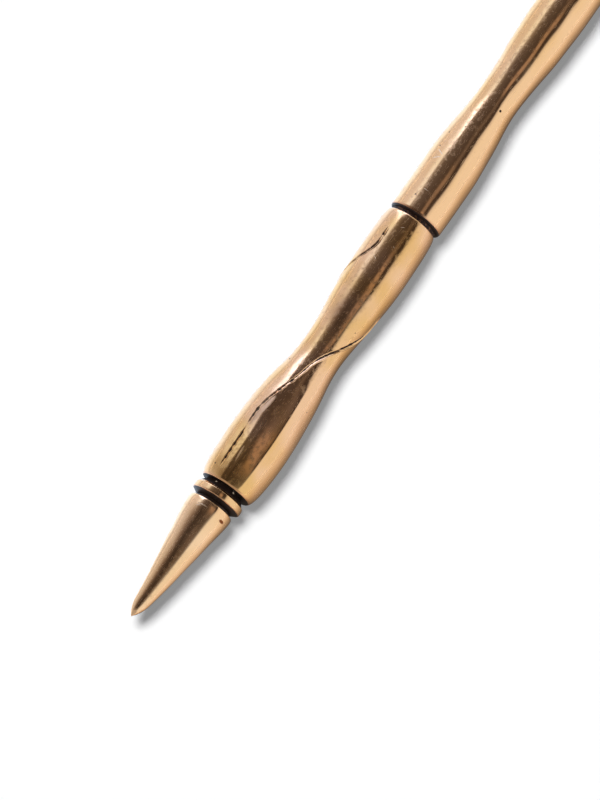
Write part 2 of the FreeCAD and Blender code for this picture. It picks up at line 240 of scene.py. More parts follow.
@dataclass(frozen=True)
class PolishedBronze:
    """Tin bronze, cast, turned and filed, then polished by hand and worn by use."""

    name: str
    marks: tuple[Mark, ...] = ()

    # Polished tin bronze is a warm yellow. Casting leaves it a little uneven in colour over
    # some millimetres, which the eye sees as slow drifts between peach and straw. Here and
    # below, a pair of levels are those of the noise between which a thing sets in.
    peach: str = "#F4C596"
    straw: str = "#EFC18B"
    drift_size: float = 5.0
    drift_levels: tuple[float, float] = (0.35, 0.65)

    # Thin brown oxide stays in the fine grain, so that the dark reflections look mottled.
    oxide: str = "#B4875A"
    oxide_share: float = 0.16
    grain_size: float = 0.5
    grain_levels: tuple[float, float] = (0.42, 0.74)
    grain_floor: float = 0.1
    grain_ceiling: float = 0.38
    grain_depth: float = 0.0012

    # The side that lay against the hand, towards -Y, is worn smooth: between these distances
    # from the axis, in millimetres towards +Y, the grain begins to show.
    worn_side: tuple[float, float] = (-1.1, 0.5)
    worn_grain: float = 0.12

    # A pinkish tint on the rims is a painted reflection of their rounded edges. Where no polish
    # reaches lies dark tarnish, which is duller and less like metal, with a ragged edge.
    rim_reflection: str = "#DDA27C"
    patina: str = "#2B1D17"
    patina_size: float = 0.3
    patina_raggedness: float = 0.9
    patina_levels: tuple[float, float] = (0.3, 0.62)
    patina_metallic: float = 0.55
    patina_roughness: float = 0.42

    # Polishing grit draws hairlines along the stylus. Real ones are about 0.01 mm wide, and
    # they are drawn 0.08 mm wide so that they show at all.
    hairline_width: float = 0.08
    hairline_length: float = 2.5
    hairline_levels: tuple[float, float] = (0.62, 0.74)
    hairline_roughness: float = 0.38

    # The skin rolls a little with the polishing stroke, like the peel of an orange.
    peel_size: float = 1.6
    peel_height: float = 0.0072

    # Gas leaves pits in the casting. About a quarter of these come through the surface.
    pit_spacing: float = 1.9
    pit_size: float = 0.085
    pit_depth: float = 0.02
    pit_levels: tuple[float, float] = (0.72, 0.78)

    # Single marks: a scratch is pale bare metal, a scuff less so, and a stain is brown.
    scratched: str = "#FFE6C6"
    stain: str = "#8A4F2C"
    scratch_share: float = 0.75
    scuff_share: float = 0.2
    scratch_roughness: float = 0.55
    stain_roughness: float = 0.5
    mark_edge: tuple[float, float] = (1.1, 0.6)

    def material(self) -> bpy.types.Material:
        """Builds the node material.

        Returns:
            The material, named for the metal and how it was made.
        """
        made, tree = new_material(self.name)
        place = add_node(
            tree,
            "ShaderNodeVectorMath",
            {
                0: add_node(tree, "ShaderNodeTexCoord").outputs["Object"],
                "Scale": 1 / MILLIMETRE,
            },
            operation="SCALE",
        ).outputs[0]
        grain = self.grain(tree, place)
        pits = self.pits(tree, place)
        patina = self.patina_share(tree, place, pits)
        colour = self.colour(tree, place, grain, patina)
        roughness = self.roughness(tree, place, grain, patina)
        for mark in self.marks:
            colour, roughness = self.marked(tree, place, mark, colour, roughness)
        metallic = add_node(tree, "ShaderNodeMix", {0: patina, 2: 1.0, 3: self.patina_metallic})
        shader = add_node(
            tree,
            "ShaderNodeBsdfPrincipled",
            {
                "Base Color": colour,
                "Metallic": metallic.outputs[0],
                "Roughness": roughness,
                "Normal": self.relief(tree, place, grain, pits),
            },
        )
        add_node(tree, "ShaderNodeOutputMaterial", {"Surface": shader.outputs[0]})
        return made

    def cloud(
        self,
        tree: bpy.types.NodeTree,
        place: bpy.types.NodeSocket,
        size: float,
        detail: float = 2.0,
        stretch: float = 1.0,
    ) -> bpy.types.NodeSocket:
        """Soft noise whose lumps are this many millimetres across.

        Args:
            tree: The material's node tree.
            place: The place in millimetres.
            size: Size of a lump across the stylus.
            detail: How many finer layers it has.
            stretch: How many times longer a lump is along the stylus.

        Returns:
            The noise, about 0.5 on average.
        """
        stretched = add_node(
            tree,
            "ShaderNodeVectorMath",
            {0: place, 1: (1 / (size * stretch), 1 / size, 1 / size)},
            operation="MULTIPLY",
        )
        noise = add_node(
            tree,
            "ShaderNodeTexNoise",
            {"Vector": stretched.outputs[0], "Scale": 1.0, "Detail": detail},
        )
        return noise.outputs["Fac"]

    def grain(
        self, tree: bpy.types.NodeTree, place: bpy.types.NodeSocket
    ) -> bpy.types.NodeSocket:
        """Finds where the polish hasn't reached into the casting's grain.

        Args:
            tree: The material's node tree.
            place: The place in millimetres.

        Returns:
            A share, from 0 where it is polished to 1 in the grain.
        """
        across = add_node(tree, "ShaderNodeSeparateXYZ", {0: place}).outputs[1]
        lumps = self.cloud(tree, place, self.grain_size, detail=3.0, stretch=1.2)
        low, high = self.grain_levels
        grain = add_node(
            tree,
            "ShaderNodeMapRange",
            {"Value": lumps, "From Min": low, "From Max": high},
            interpolation_type="SMOOTHSTEP",
        )
        worn, dull = self.worn_side
        left = add_node(
            tree,
            "ShaderNodeMapRange",
            {"Value": across, "From Min": worn, "From Max": dull, "To Min": self.worn_grain},
            interpolation_type="SMOOTHSTEP",
        )
        return add_node(
            tree,
            "ShaderNodeMath",
            {0: grain.outputs[0], 1: left.outputs[0]},
            operation="MULTIPLY",
        ).outputs[0]

    def pits(
        self, tree: bpy.types.NodeTree, place: bpy.types.NodeSocket
    ) -> bpy.types.NodeSocket:
        """Finds the small gas pits of the casting.

        Args:
            tree: The material's node tree.
            place: The place in millimetres.

        Returns:
            A share, from 0 on sound metal to 1 in a pit.
        """
        cells = add_node(
            tree, "ShaderNodeTexVoronoi", {"Vector": place, "Scale": 1 / self.pit_spacing}
        )
        near = add_node(
            tree,
            "ShaderNodeMapRange",
            {
                "Value": cells.outputs["Distance"],
                "From Min": self.pit_size,
                "From Max": self.pit_size / 3,
            },
            interpolation_type="SMOOTHSTEP",
        )
        chance = add_node(tree, "ShaderNodeSeparateColor", {0: cells.outputs["Color"]})
        low, high = self.pit_levels
        kept = add_node(
            tree,
            "ShaderNodeMapRange",
            {"Value": chance.outputs[0], "From Min": low, "From Max": high},
            interpolation_type="SMOOTHSTEP",
        )
        return add_node(
            tree,
            "ShaderNodeMath",
            {0: near.outputs[0], 1: kept.outputs[0]},
            operation="MULTIPLY",
        ).outputs[0]

    def patina_share(
        self,
        tree: bpy.types.NodeTree,
        place: bpy.types.NodeSocket,
        pits: bpy.types.NodeSocket,
    ) -> bpy.types.NodeSocket:
        """Finds where dark patina covers the metal.

        Args:
            tree: The material's node tree.
            place: The place in millimetres.
            pits: The share of pits, which are always dark.

        Returns:
            A share: what the skin's attribute carries, with a ragged edge, and the pits.
        """
        carried = add_node(tree, "ShaderNodeAttribute", attribute_name="patina")
        lumps = self.cloud(tree, place, self.patina_size, detail=3.0)
        ragged = add_node(
            tree,
            "ShaderNodeMath",
            {0: lumps, 1: -self.patina_raggedness, 2: self.patina_raggedness / 2},
            operation="MULTIPLY_ADD",
        )
        summed = add_node(
            tree,
            "ShaderNodeMath",
            {0: carried.outputs["Fac"], 1: ragged.outputs[0]},
            operation="ADD",
        )
        low, high = self.patina_levels
        covered = add_node(
            tree,
            "ShaderNodeMapRange",
            {"Value": summed.outputs[0], "From Min": low, "From Max": high},
            interpolation_type="SMOOTHSTEP",
        )
        return add_node(
            tree, "ShaderNodeMath", {0: covered.outputs[0], 1: pits}, operation="MAXIMUM"
        ).outputs[0]

    def colour(
        self,
        tree: bpy.types.NodeTree,
        place: bpy.types.NodeSocket,
        grain: bpy.types.NodeSocket,
        patina: bpy.types.NodeSocket,
    ) -> bpy.types.NodeSocket:
        """Colours the metal, one layer over another.

        Args:
            tree: The material's node tree.
            place: The place in millimetres.
            grain: The share of dull grain.
            patina: The share of patina.

        Returns:
            The colour: peach that drifts to straw, oxide, a painted reflection on the rims, then
                patina.
        """
        lumps = self.cloud(tree, place, self.drift_size, 2.0, 1.6)
        low, high = self.drift_levels
        drift = add_node(
            tree,
            "ShaderNodeMapRange",
            {"Value": lumps, "From Min": low, "From Max": high},
            interpolation_type="SMOOTHSTEP",
        ).outputs[0]
        dull = add_node(
            tree, "ShaderNodeMath", {0: grain, 1: self.oxide_share}, operation="MULTIPLY"
        ).outputs[0]
        # Painted reflection: the skin's attribute tints the rims pinkish.
        reflected_rim = add_node(tree, "ShaderNodeAttribute", attribute_name="rim_reflection").outputs["Fac"]
        layers = (
            (drift, self.straw),
            (dull, self.oxide),
            (reflected_rim, self.rim_reflection),
            (patina, self.patina),
        )
        colour: Any = to_linear(self.peach)
        for share, over in layers:
            colour = add_node(
                tree,
                "ShaderNodeMix",
                {0: share, 6: colour, 7: to_linear(over)},
                data_type="RGBA",
            ).outputs[2]
        return colour

    def roughness(
        self,
        tree: bpy.types.NodeTree,
        place: bpy.types.NodeSocket,
        grain: bpy.types.NodeSocket,
        patina: bpy.types.NodeSocket,
    ) -> bpy.types.NodeSocket:
        """Makes the metal smooth where it is polished and duller elsewhere.

        Args:
            tree: The material's node tree.
            place: The place in millimetres.
            grain: The share of dull grain.
            patina: The share of patina.

        Returns:
            The roughness, with the hairlines of the last polish in it.
        """
        stretch = self.hairline_length / self.hairline_width
        lines = self.cloud(tree, place, self.hairline_width, detail=1.0, stretch=stretch)
        low, high = self.hairline_levels
        hairlines = add_node(
            tree,
            "ShaderNodeMapRange",
            {"Value": lines, "From Min": low, "From Max": high},
            interpolation_type="SMOOTHSTEP",
        ).outputs[0]
        layers = (
            (grain, self.grain_ceiling),
            (hairlines, self.hairline_roughness),
            (patina, self.patina_roughness),
        )
        roughness: Any = self.grain_floor
        for share, level in layers:
            roughness = add_node(
                tree, "ShaderNodeMix", {0: share, 2: roughness, 3: level}
            ).outputs[0]
        return roughness

    def relief(
        self,
        tree: bpy.types.NodeTree,
        place: bpy.types.NodeSocket,
        grain: bpy.types.NodeSocket,
        pits: bpy.types.NodeSocket,
    ) -> bpy.types.NodeSocket:
        """Adds the relief that is too fine for the skin itself.

        Args:
            tree: The material's node tree.
            place: The place in millimetres.
            grain: The share of dull grain.
            pits: The share of pits.

        Returns:
            The bent normal.
        """
        peel = self.cloud(tree, place, self.peel_size, 1.0, 1.4)
        layers = ((peel, self.peel_height), (grain, self.grain_depth), (pits, -self.pit_depth))
        bent: dict[str, bpy.types.NodeSocket] = {}
        for height, distance in layers:
            bump = add_node(
                tree,
                "ShaderNodeBump",
                {"Height": height, "Distance": distance * MILLIMETRE, **bent},
            )
            bent = {"Normal": bump.outputs[0]}
        return bent["Normal"]

    def marked(
        self,
        tree: bpy.types.NodeTree,
        place: bpy.types.NodeSocket,
        mark: Mark,
        colour: bpy.types.NodeSocket,
        roughness: bpy.types.NodeSocket,
    ) -> tuple[bpy.types.NodeSocket, bpy.types.NodeSocket]:
        """Lays one mark over the metal.

        Args:
            tree: The material's node tree.
            place: The place in millimetres.
            mark: The mark.
            colour: The colour without it.
            roughness: The roughness without it.

        Returns:
            The colour and the roughness with it.
        """
        over, strength, level = {
            MarkKind.PIT: (self.patina, 1.0, self.stain_roughness),
            MarkKind.STAIN: (self.stain, 1.0, self.stain_roughness),
            MarkKind.SCRATCH: (self.scratched, self.scratch_share, self.scratch_roughness),
            MarkKind.SCUFF: (self.scratched, self.scuff_share, self.scratch_roughness),
        }[mark.kind]
        share = self.mark_share(tree, place, mark)
        held = add_node(tree, "ShaderNodeMath", {0: share, 1: strength}, operation="MULTIPLY")
        tinted = add_node(
            tree,
            "ShaderNodeMix",
            {0: held.outputs[0], 6: colour, 7: to_linear(over)},
            data_type="RGBA",
        )
        dulled = add_node(tree, "ShaderNodeMix", {0: share, 2: roughness, 3: level})
        return tinted.outputs[2], dulled.outputs[0]

    def mark_share(
        self, tree: bpy.types.NodeTree, place: bpy.types.NodeSocket, mark: Mark
    ) -> bpy.types.NodeSocket:
        """Where one mark lies, from 0 to 1.

        Args:
            tree: The material's node tree.
            place: The place in millimetres.
            mark: The mark.

        Returns:
            1 in the middle of the mark and 0 outside it.
        """
        centre = mark.centre()
        length, width = mark.directions()
        away = add_node(
            tree,
            "ShaderNodeVectorMath",
            {0: place, 1: tuple(centre)},
            operation="SUBTRACT",
        ).outputs[0]
        reaches = []
        half_sizes = (mark.length / 2, mark.width / 2, mark.length)
        for direction, half in zip((length, width, np.cross(length, width)), half_sizes):
            reach = add_node(
                tree,
                "ShaderNodeVectorMath",
                {0: away, 1: tuple(direction / half)},
                operation="DOT_PRODUCT",
            )
            reaches.append(reach.outputs["Value"])
        joined = add_node(tree, "ShaderNodeCombineXYZ", dict(enumerate(reaches)))
        distance = add_node(
            tree, "ShaderNodeVectorMath", {0: joined.outputs[0]}, operation="LENGTH"
        )
        outer, inner = self.mark_edge
        return add_node(
            tree,
            "ShaderNodeMapRange",
            {"Value": distance.outputs["Value"], "From Min": outer, "From Max": inner},
            interpolation_type="SMOOTHSTEP",
        ).outputs[0]


@dataclass(frozen=True)
class PatinatedBronze:
    """Tin bronze with the brown-black tarnish that stays where no hand polishes it."""

    name: str = "tin bronze, dark with patina"

    # Old tarnish is nearly black with a purple-brown cast, and wears to bare specks of metal.
    tarnish: str = "#2A1C18"
    worn: str = "#7A5138"
    speck_size: float = 0.3
    speck_levels: tuple[float, float] = (0.52, 0.72)
    speck_depth: float = 0.03
    tarnish_metallic: float = 0.7
    tarnish_roughness: float = 0.5
    worn_roughness: float = 0.28

    def material(self) -> bpy.types.Material:
        """Builds the node material.

        Returns:
            The material, named for the metal and its tarnish.
        """
        made, tree = new_material(self.name)
        place = add_node(tree, "ShaderNodeTexCoord").outputs["Object"]
        specks = add_node(
            tree,
            "ShaderNodeTexNoise",
            {"Vector": place, "Scale": 1 / (self.speck_size * MILLIMETRE), "Detail": 3.0},
        )
        low, high = self.speck_levels
        bare = add_node(
            tree,
            "ShaderNodeMapRange",
            {"Value": specks.outputs["Fac"], "From Min": low, "From Max": high},
        )
        colour = add_node(
            tree,
            "ShaderNodeMix",
            {0: bare.outputs[0], 6: to_linear(self.tarnish), 7: to_linear(self.worn)},
            data_type="RGBA",
        )
        bump = add_node(
            tree,
            "ShaderNodeBump",
            {"Height": specks.outputs["Fac"], "Distance": self.speck_depth * MILLIMETRE},
        )
        roughness = add_node(
            tree,
            "ShaderNodeMix",
            {0: bare.outputs[0], 2: self.tarnish_roughness, 3: self.worn_roughness},
        )
        shader = add_node(
            tree,
            "ShaderNodeBsdfPrincipled",
            {
                "Base Color": colour.outputs[2],
                "Metallic": self.tarnish_metallic,
                "Roughness": roughness.outputs[0],
                "Normal": bump.outputs[0],
            },
        )
        add_node(tree, "ShaderNodeOutputMaterial", {"Surface": shader.outputs[0]})
        return made


@dataclass
class Ripple:
    """The slow unevenness that filing and polishing by hand leave in a turned surface."""

    seed: int
    height: float = 0.03
    shortest: float = 4.0
    longest: float = 13.0
    lobes: int = 6
    waves: int = 22

    # The waves' sum, as a multiple of its usual size, at which the ripple is held level.
    held_at: float = 1.43

    def depth_at(self, along: np.ndarray, angle: np.ndarray) -> np.ndarray:
        """How far the surface lies below the true outline, in millimetres.

        Args:
            along: Distances from the tip, in millimetres.
            angle: Angles round the stylus, in radians.

        Returns:
            Depths from 0 to the ripple's height.
        """
        chance = np.random.RandomState(self.seed)
        total = np.zeros(np.broadcast(along, angle).shape)
        for _ in range(self.waves):
            length = chance.uniform(self.shortest, self.longest)
            lobe = chance.randint(0, self.lobes + 1)
            phase, turn = chance.uniform(0, 2 * math.pi, 2)
            wave = np.cos(2 * math.pi * along / length + phase + lobe * (angle + turn))
            total += wave * length / self.longest
        spread = self.held_at * math.sqrt(self.waves / 2)
        return self.height * (0.5 + 0.5 * np.clip(total / spread, -1, 1))


@dataclass(frozen=True)
class FiledFlat:
    """A place where the file has half flattened a round piece, in millimetres and degrees."""

    start: float
    end: float
    angle: float
    half_angle: float
    strength: float = 0.65
    softness: float = 6.0

    # How softly the flat runs out at its sides, as a share of its depth.
    side_softness: float = 0.04

    def filed(self, along: np.ndarray, angles: np.ndarray, radii: np.ndarray) -> np.ndarray:
        """Files the flat.

        Args:
            along: Distance of each place from the tip.
            angles: Angle of each place.
            radii: Radius of each place.

        Returns:
            The radii, reduced where the flat is.
        """
        held = eased((along - self.start) / self.softness)
        held = held * eased((self.end - along) / self.softness)
        away = np.angle(np.exp(1j * (angles - math.radians(self.angle))))
        reach = math.radians(self.half_angle)
        level = math.cos(reach) / np.cos(np.clip(away, -reach, reach))
        drop = 1 - level
        soft = self.side_softness * (1 - math.cos(reach)) + 1e-12
        drop = drop ** 2 / (drop + soft)
        return radii * (1 - self.strength * held * drop)


class Outline:
    """The outline of a turned piece, drawn run by run, in millimetres.

    Each point is a distance from the tip and a radius.
    """

    def __init__(self, along: float, radius: float) -> None:
        """Starts the outline at a distance from the tip and a radius."""
        self.points = [np.array((along, radius), float)]

    def bend(self, *poles: tuple[float, float], pace: float = SHOWN_PACE) -> "Outline":
        """Adds a smooth bend from the last point.

        Args:
            poles: The points that it leans to, and its end.
            pace: Distance between the rows of the skin.

        Returns:
            The outline.
        """
        course = np.array([self.points[-1], *poles], float)
        length = np.linalg.norm(np.diff(course, axis=0), axis=1).sum()
        steps = max(4, math.ceil(length / pace))
        for step in range(1, steps + 1):
            level = course
            while len(level) > 1:
                level = level[:-1] + np.diff(level, axis=0) * step / steps
            self.points.append(level[0])
        return self

    def hidden(self, *corners: tuple[float, float]) -> "Outline":
        """Adds straight runs, in wide rows, inside the stylus where nothing shows.

        Args:
            corners: The ends of the runs.

        Returns:
            The outline.
        """
        for corner in corners:
            self.bend(corner, pace=HIDDEN_PACE)
        return self

    def from_face(
        self, length: float, radius: float, flatness: tuple[float, float]
    ) -> "Outline":
        """Adds a run that rises square to the axis and becomes level at its ring.

        Args:
            length: How far the run goes along the stylus.
            radius: The radius that it ends at.
            flatness: How strongly it holds its direction at its start and at its end.

        Returns:
            The outline.
        """
        start, (rising, level) = self.points[-1], flatness
        end = np.array((start[0] + length, radius))
        over_face = np.array((start[0], radius))
        return self.bend(
            start + (over_face - start) * rising, end + (over_face - end) * level, end
        )

    def ogee(self, length: float, radius: float, flatness: tuple[float, float]) -> "Outline":
        """Adds a run from ring to ring, level at both.

        Args:
            length: How far the run goes along the stylus.
            radius: The radius that it ends at.
            flatness: How strongly it holds its direction at its start and at its end.

        Returns:
            The outline.
        """
        start, (leaving, arriving) = self.points[-1], flatness
        end = np.array((start[0] + length, radius))
        first = np.array((start[0] + leaving * length, start[1]))
        second = np.array((end[0] - arriving * length, radius))
        middle = first + (second - first) * leaving / (leaving + arriving)
        return self.bend(first, middle).bend(second, end)

    def to_face(self, length: float, radius: float, flatness: tuple[float, float]) -> "Outline":
        """Adds a run that is level at its ring and ends square to the axis at a face.

        Args:
            length: How far the run goes along the stylus.
            radius: The radius that it ends at.
            flatness: How strongly it holds its direction at its start and at its end.

        Returns:
            The outline.
        """
        start, (level, falling) = self.points[-1], flatness
        end = np.array((start[0] + length, radius))
        over_face = np.array((end[0], start[1]))
        return self.bend(
            start + (over_face - start) * level, end + (over_face - end) * falling, end
        )

    def rows(self) -> np.ndarray:
        """Rounds each sharp corner as polishing leaves it.

        Returns:
            The outline's points, each a distance from the tip and a radius.
        """
        kept = [self.points[0]]
        straight = math.cos(math.radians(SHARP_TURN))
        for before, here, after in zip(self.points, self.points[1:], self.points[2:]):
            arriving, leaving = here - before, after - here
            lengths = np.linalg.norm(arriving), np.linalg.norm(leaving)
            if arriving @ leaving > straight * lengths[0] * lengths[1]:
                kept.append(here)
                continue
            reach = min(POLISHED_EDGE, 0.45 * min(lengths))
            first = here - arriving / lengths[0] * reach
            last = here + leaving / lengths[1] * reach
            for share in (0.0, 0.25, 0.5, 0.75, 1.0):
                one, two = first + (here - first) * share, here + (last - here) * share
                kept.append(one + (two - one) * share)
        kept.append(self.points[-1])
        return np.array(kept)


@dataclass
class Skin:
    """The visible skin of one piece: rows of places, with what the finish has to know."""

    name: str
    places: np.ndarray
    patina: np.ndarray
    rim_reflection: np.ndarray
    is_ring: bool = False

    def build(self) -> bpy.types.Object:
        """Makes the mesh object, in metres, with its attributes.

        Returns:
            The object, closed and facing outwards.
        """
        rows, columns = self.places.shape[:2]
        index = np.arange(rows * columns).reshape(rows, columns)
        places = self.places.reshape(-1, 3)
        marks = {"patina": self.patina.reshape(-1), "rim_reflection": self.rim_reflection.reshape(-1)}
        if not self.is_ring:
            index = index - columns + 1
            index[0], index[-1] = 0, index[-2, -1] + 1
            kept = np.r_[0, columns : (rows - 1) * columns, (rows - 1) * columns]
            places = places[kept]
            marks = {name: values[kept] for name, values in marks.items()}
        corners, grid = self.corners(index)
        mesh = bpy.data.meshes.new(self.name)
        mesh.from_pydata((places * MILLIMETRE).tolist(), [], corners)
        for name, values in marks.items():
            layer = mesh.attributes.new(name, "FLOAT", "POINT")
            layer.data.foreach_set("value", np.clip(values, 0, 1).astype(np.float32))
        chart = mesh.uv_layers.new(name="chart")
        chart.data.foreach_set("uv", (grid / (rows, columns)).astype(np.float32).reshape(-1))
        mesh.shade_smooth()
        mesh.validate()
        made = bpy.data.objects.new(self.name, mesh)
        bpy.context.scene.collection.objects.link(made)
        return made

    def corners(self, index: np.ndarray) -> tuple[list[list[int]], np.ndarray]:
        """Lists the faces between the rows.

        Args:
            index: The vertex at each row and column.

        Returns:
            The faces, and the row and column of each of their corners.
        """
        rows, columns = index.shape
        faces, grid = [], []
        for row in range(rows if self.is_ring else rows - 1):
            following = (row + 1) % rows
            for column in range(columns):
                beside = (column + 1) % columns
                ring = [
                    (row, column, row, column),
                    (row, beside, row, column + 1),
                    (following, beside, row + 1, column + 1),
                    (following, column, row + 1, column),
                ]
                if not self.is_ring and row == 0:
                    ring.pop(1)
                if not self.is_ring and following == rows - 1:
                    ring.pop(2)
                faces.append([int(index[one[0], one[1]]) for one in ring])
                grid.extend((one[2], one[3]) for one in ring)
        return faces, np.array(grid, float)


class TurnedPiece:
    """A piece that is turned about the axis and stands for one node of the construction."""

    node: str
    columns: int
    is_ring: bool = False

    # Handwork never runs quite true: distances from the tip, and how far the piece's middle
    # lies there from the stylus's own axis, towards -Y.
    sway: tuple[tuple[float, float], ...] = ((0.0, 0.0), (1.0, 0.0))
    sway_smoothing: float = 2.0
    flats: tuple[FiledFlat, ...] = ()

    def outline(self) -> Outline:
        """The piece's outline."""
        raise NotImplementedError

    def swayed(self, along: np.ndarray) -> np.ndarray:
        """Smooths the sway between its places.

        Args:
            along: Distances from the tip.

        Returns:
            How far the piece's middle lies there from the axis, towards -Y.
        """
        places, offsets = np.array(self.sway).T
        steps = np.linspace(-self.sway_smoothing, self.sway_smoothing, 9)
        near = np.cos(0.4 * math.pi * steps / self.sway_smoothing) ** 2
        smooth = sum(
            weight * np.interp(along + step, places, offsets) for step, weight in zip(steps, near)
        )
        return smooth / near.sum()

    def free(self, rows: np.ndarray) -> np.ndarray:
        """How far each row may follow the sway: hidden tangs and sockets stay true."""
        return handworked(rows)

    def finish(self) -> PolishedBronze:
        """The piece's finish."""
        raise NotImplementedError

    def ripple(self) -> Ripple:
        """The piece's unevenness."""
        raise NotImplementedError

    def angles(self, rows: np.ndarray) -> np.ndarray:
        """The angle of each place: columns evenly round each row."""
        even = -math.pi + 2 * math.pi * np.arange(self.columns) / self.columns
        return np.broadcast_to(even, (len(rows), self.columns))

    def worked(
        self, rows: np.ndarray, angles: np.ndarray, radii: np.ndarray
    ) -> tuple[np.ndarray, np.ndarray, np.ndarray]:
        """Works the plain skin further.

        Args:
            rows: The outline's points.
            angles: The angle of each place.
            radii: The radius of each place.

        Returns:
            The new radii, and the shares of patina and of the painted rim reflection.
        """
        return radii, np.zeros_like(radii), np.zeros_like(radii)

    def dress(self) -> bpy.types.Object:
        """Builds the skin, gives it its finish and sets it in the frame.

        Returns:
            The finished object.
        """
        rows = self.outline().rows()
        angles = self.angles(rows)
        along = rows[:, :1]
        outer = handworked(rows)
        radii = rows[:, 1:] - outer * self.ripple().depth_at(along, angles)
        radii = np.where(rows[:, 1:] > 0, radii, 0.0)
        for flat in self.flats:
            radii = np.where(outer > 0, flat.filed(along, angles, radii), radii)
        radii, patina, rim_reflection = self.worked(rows, angles, radii)
        places = around(along, angles, radii)
        places[..., 1] -= self.free(rows) * self.swayed(along)
        skin = Skin(f"{self.node}_skin", places, patina, rim_reflection, self.is_ring)
        return settle(skin.build(), self.node, self.finish().material())


def settle(
    piece: bpy.types.Object, node: str, material: bpy.types.Material
) -> bpy.types.Object:
    """Sets a finished piece in the frame, in place of its node.

    Args:
        piece: The piece's object.
        node: The node of the construction that it stands for.
        material: Its material.

    Returns:
        The piece.
    """
    piece.data.materials.append(material)
    piece.visible_diffuse = False
    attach(piece, "root")
    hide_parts(node)
    log.info("%s: %d faces, %s", node, len(piece.data.polygons), material.name)
    return piece


@dataclass
class WritingPoint(TurnedPiece):
    """The writing point: nose, cone and shoulder, with its neck and tang."""

    node: str = "writing_point"
    columns: int = 112
    nose_length: float = 2.4
    nose_radius: float = 1.09
    nose_bluntness: float = 0.9
    cone_length: float = 15.0
    shoulder_radius: float = 3.37
    round_length: float = 2.6
    round_height: float = 0.42
    neck_length: float = 0.35
    neck_radius: float = 2.45
    tang_radius: float = 1.5
    tang_length: float = 11.95
    tang_chamfer: float = 0.3

    # Patina reaches this far over the rear face's rim, fades over this height, and starts
    # this far in front of the face.
    patina_reach: float = 0.02
    patina_fade: float = 0.15
    patina_lead: float = 0.05
    sway: tuple[tuple[float, float], ...] = (
        (0.0, -0.33),
        (2.0, -0.2),
        (5.0, -0.09),
        (12.0, -0.1),
        (14.5, -0.13),
        (17.4, -0.02),
        (20.0, 0.0),
    )
    flats: tuple[FiledFlat, ...] = (
        FiledFlat(5.0, 21.5, angle=8.0, half_angle=15.0, strength=0.6, softness=6.0),
    )

    def face(self) -> float:
        """Where the shoulder's rear face is."""
        return self.nose_length + self.cone_length

    def on_cone(self, along: float) -> tuple[float, float]:
        """The point of the cone's line at a distance from the tip."""
        slope = (self.shoulder_radius - self.nose_radius) / self.cone_length
        return along, self.nose_radius + (along - self.nose_length) * slope

    def outline(self) -> Outline:
        """Draws the point from its tip to the tang's end.

        Returns:
            The outline.
        """
        face = self.face()
        seat = face + self.neck_length
        end = seat + self.tang_length
        return (
            Outline(0.0, 0.0)
            .bend(self.on_cone(self.nose_bluntness), self.on_cone(self.nose_length))
            .bend(self.on_cone(face - self.round_length))
            .bend(self.on_cone(face), (face, self.shoulder_radius - self.round_height))
            .bend((face, self.neck_radius))
            .bend((seat, self.neck_radius))
            .hidden(
                (seat, self.tang_radius),
                (end - self.tang_chamfer, self.tang_radius),
                (end, self.tang_radius - self.tang_chamfer),
                (end, 0.0),
            )
        )

    def free(self, rows: np.ndarray) -> np.ndarray:
        """The slim tip is free too: only the neck and tang behind the face stay true."""
        return np.where(rows[:, :1] < self.face() - 1, 1.0, super().free(rows))

    def finish(self) -> PolishedBronze:
        """Polished, with a brown stain and a scrape near the shoulder."""
        return PolishedBronze(
            "tin bronze, turned and polished, point",
            peach="#FACFA4",
            straw="#F6C999",
            worn_side=(-1.7, -0.3),
            grain_ceiling=0.3,
            marks=(
                Mark(MarkKind.STAIN, 16.1, 52.0, 3.25, 1.1, 0.5, 90.0),
                Mark(MarkKind.SCRATCH, 16.4, -12.0, 3.05, 1.7, 0.16, 86.0),
                Mark(MarkKind.SCRATCH, 16.1, -20.0, 3.05, 0.8, 0.12, 70.0),
            ),
        )

    def ripple(self) -> Ripple:
        """A fine ripple: the cone is drawn out with a file."""
        return Ripple(seed=11, height=0.035, shortest=3.0, longest=9.0)

    def worked(
        self, rows: np.ndarray, angles: np.ndarray, radii: np.ndarray
    ) -> tuple[np.ndarray, np.ndarray, np.ndarray]:
        """Leaves patina on the rear face and in the groove behind it.

        Args:
            rows: The outline's points.
            angles: The angle of each place.
            radii: The radius of each place.

        Returns:
            The new radii, and the shares of patina and of the painted rim reflection.
        """
        along = np.broadcast_to(rows[:, :1], radii.shape)
        rim = self.shoulder_radius - self.round_height + self.patina_reach
        patina = eased((rim - radii) / self.patina_fade)
        patina = patina * (along > self.face() - self.patina_lead)
        return radii, patina, np.zeros_like(radii)


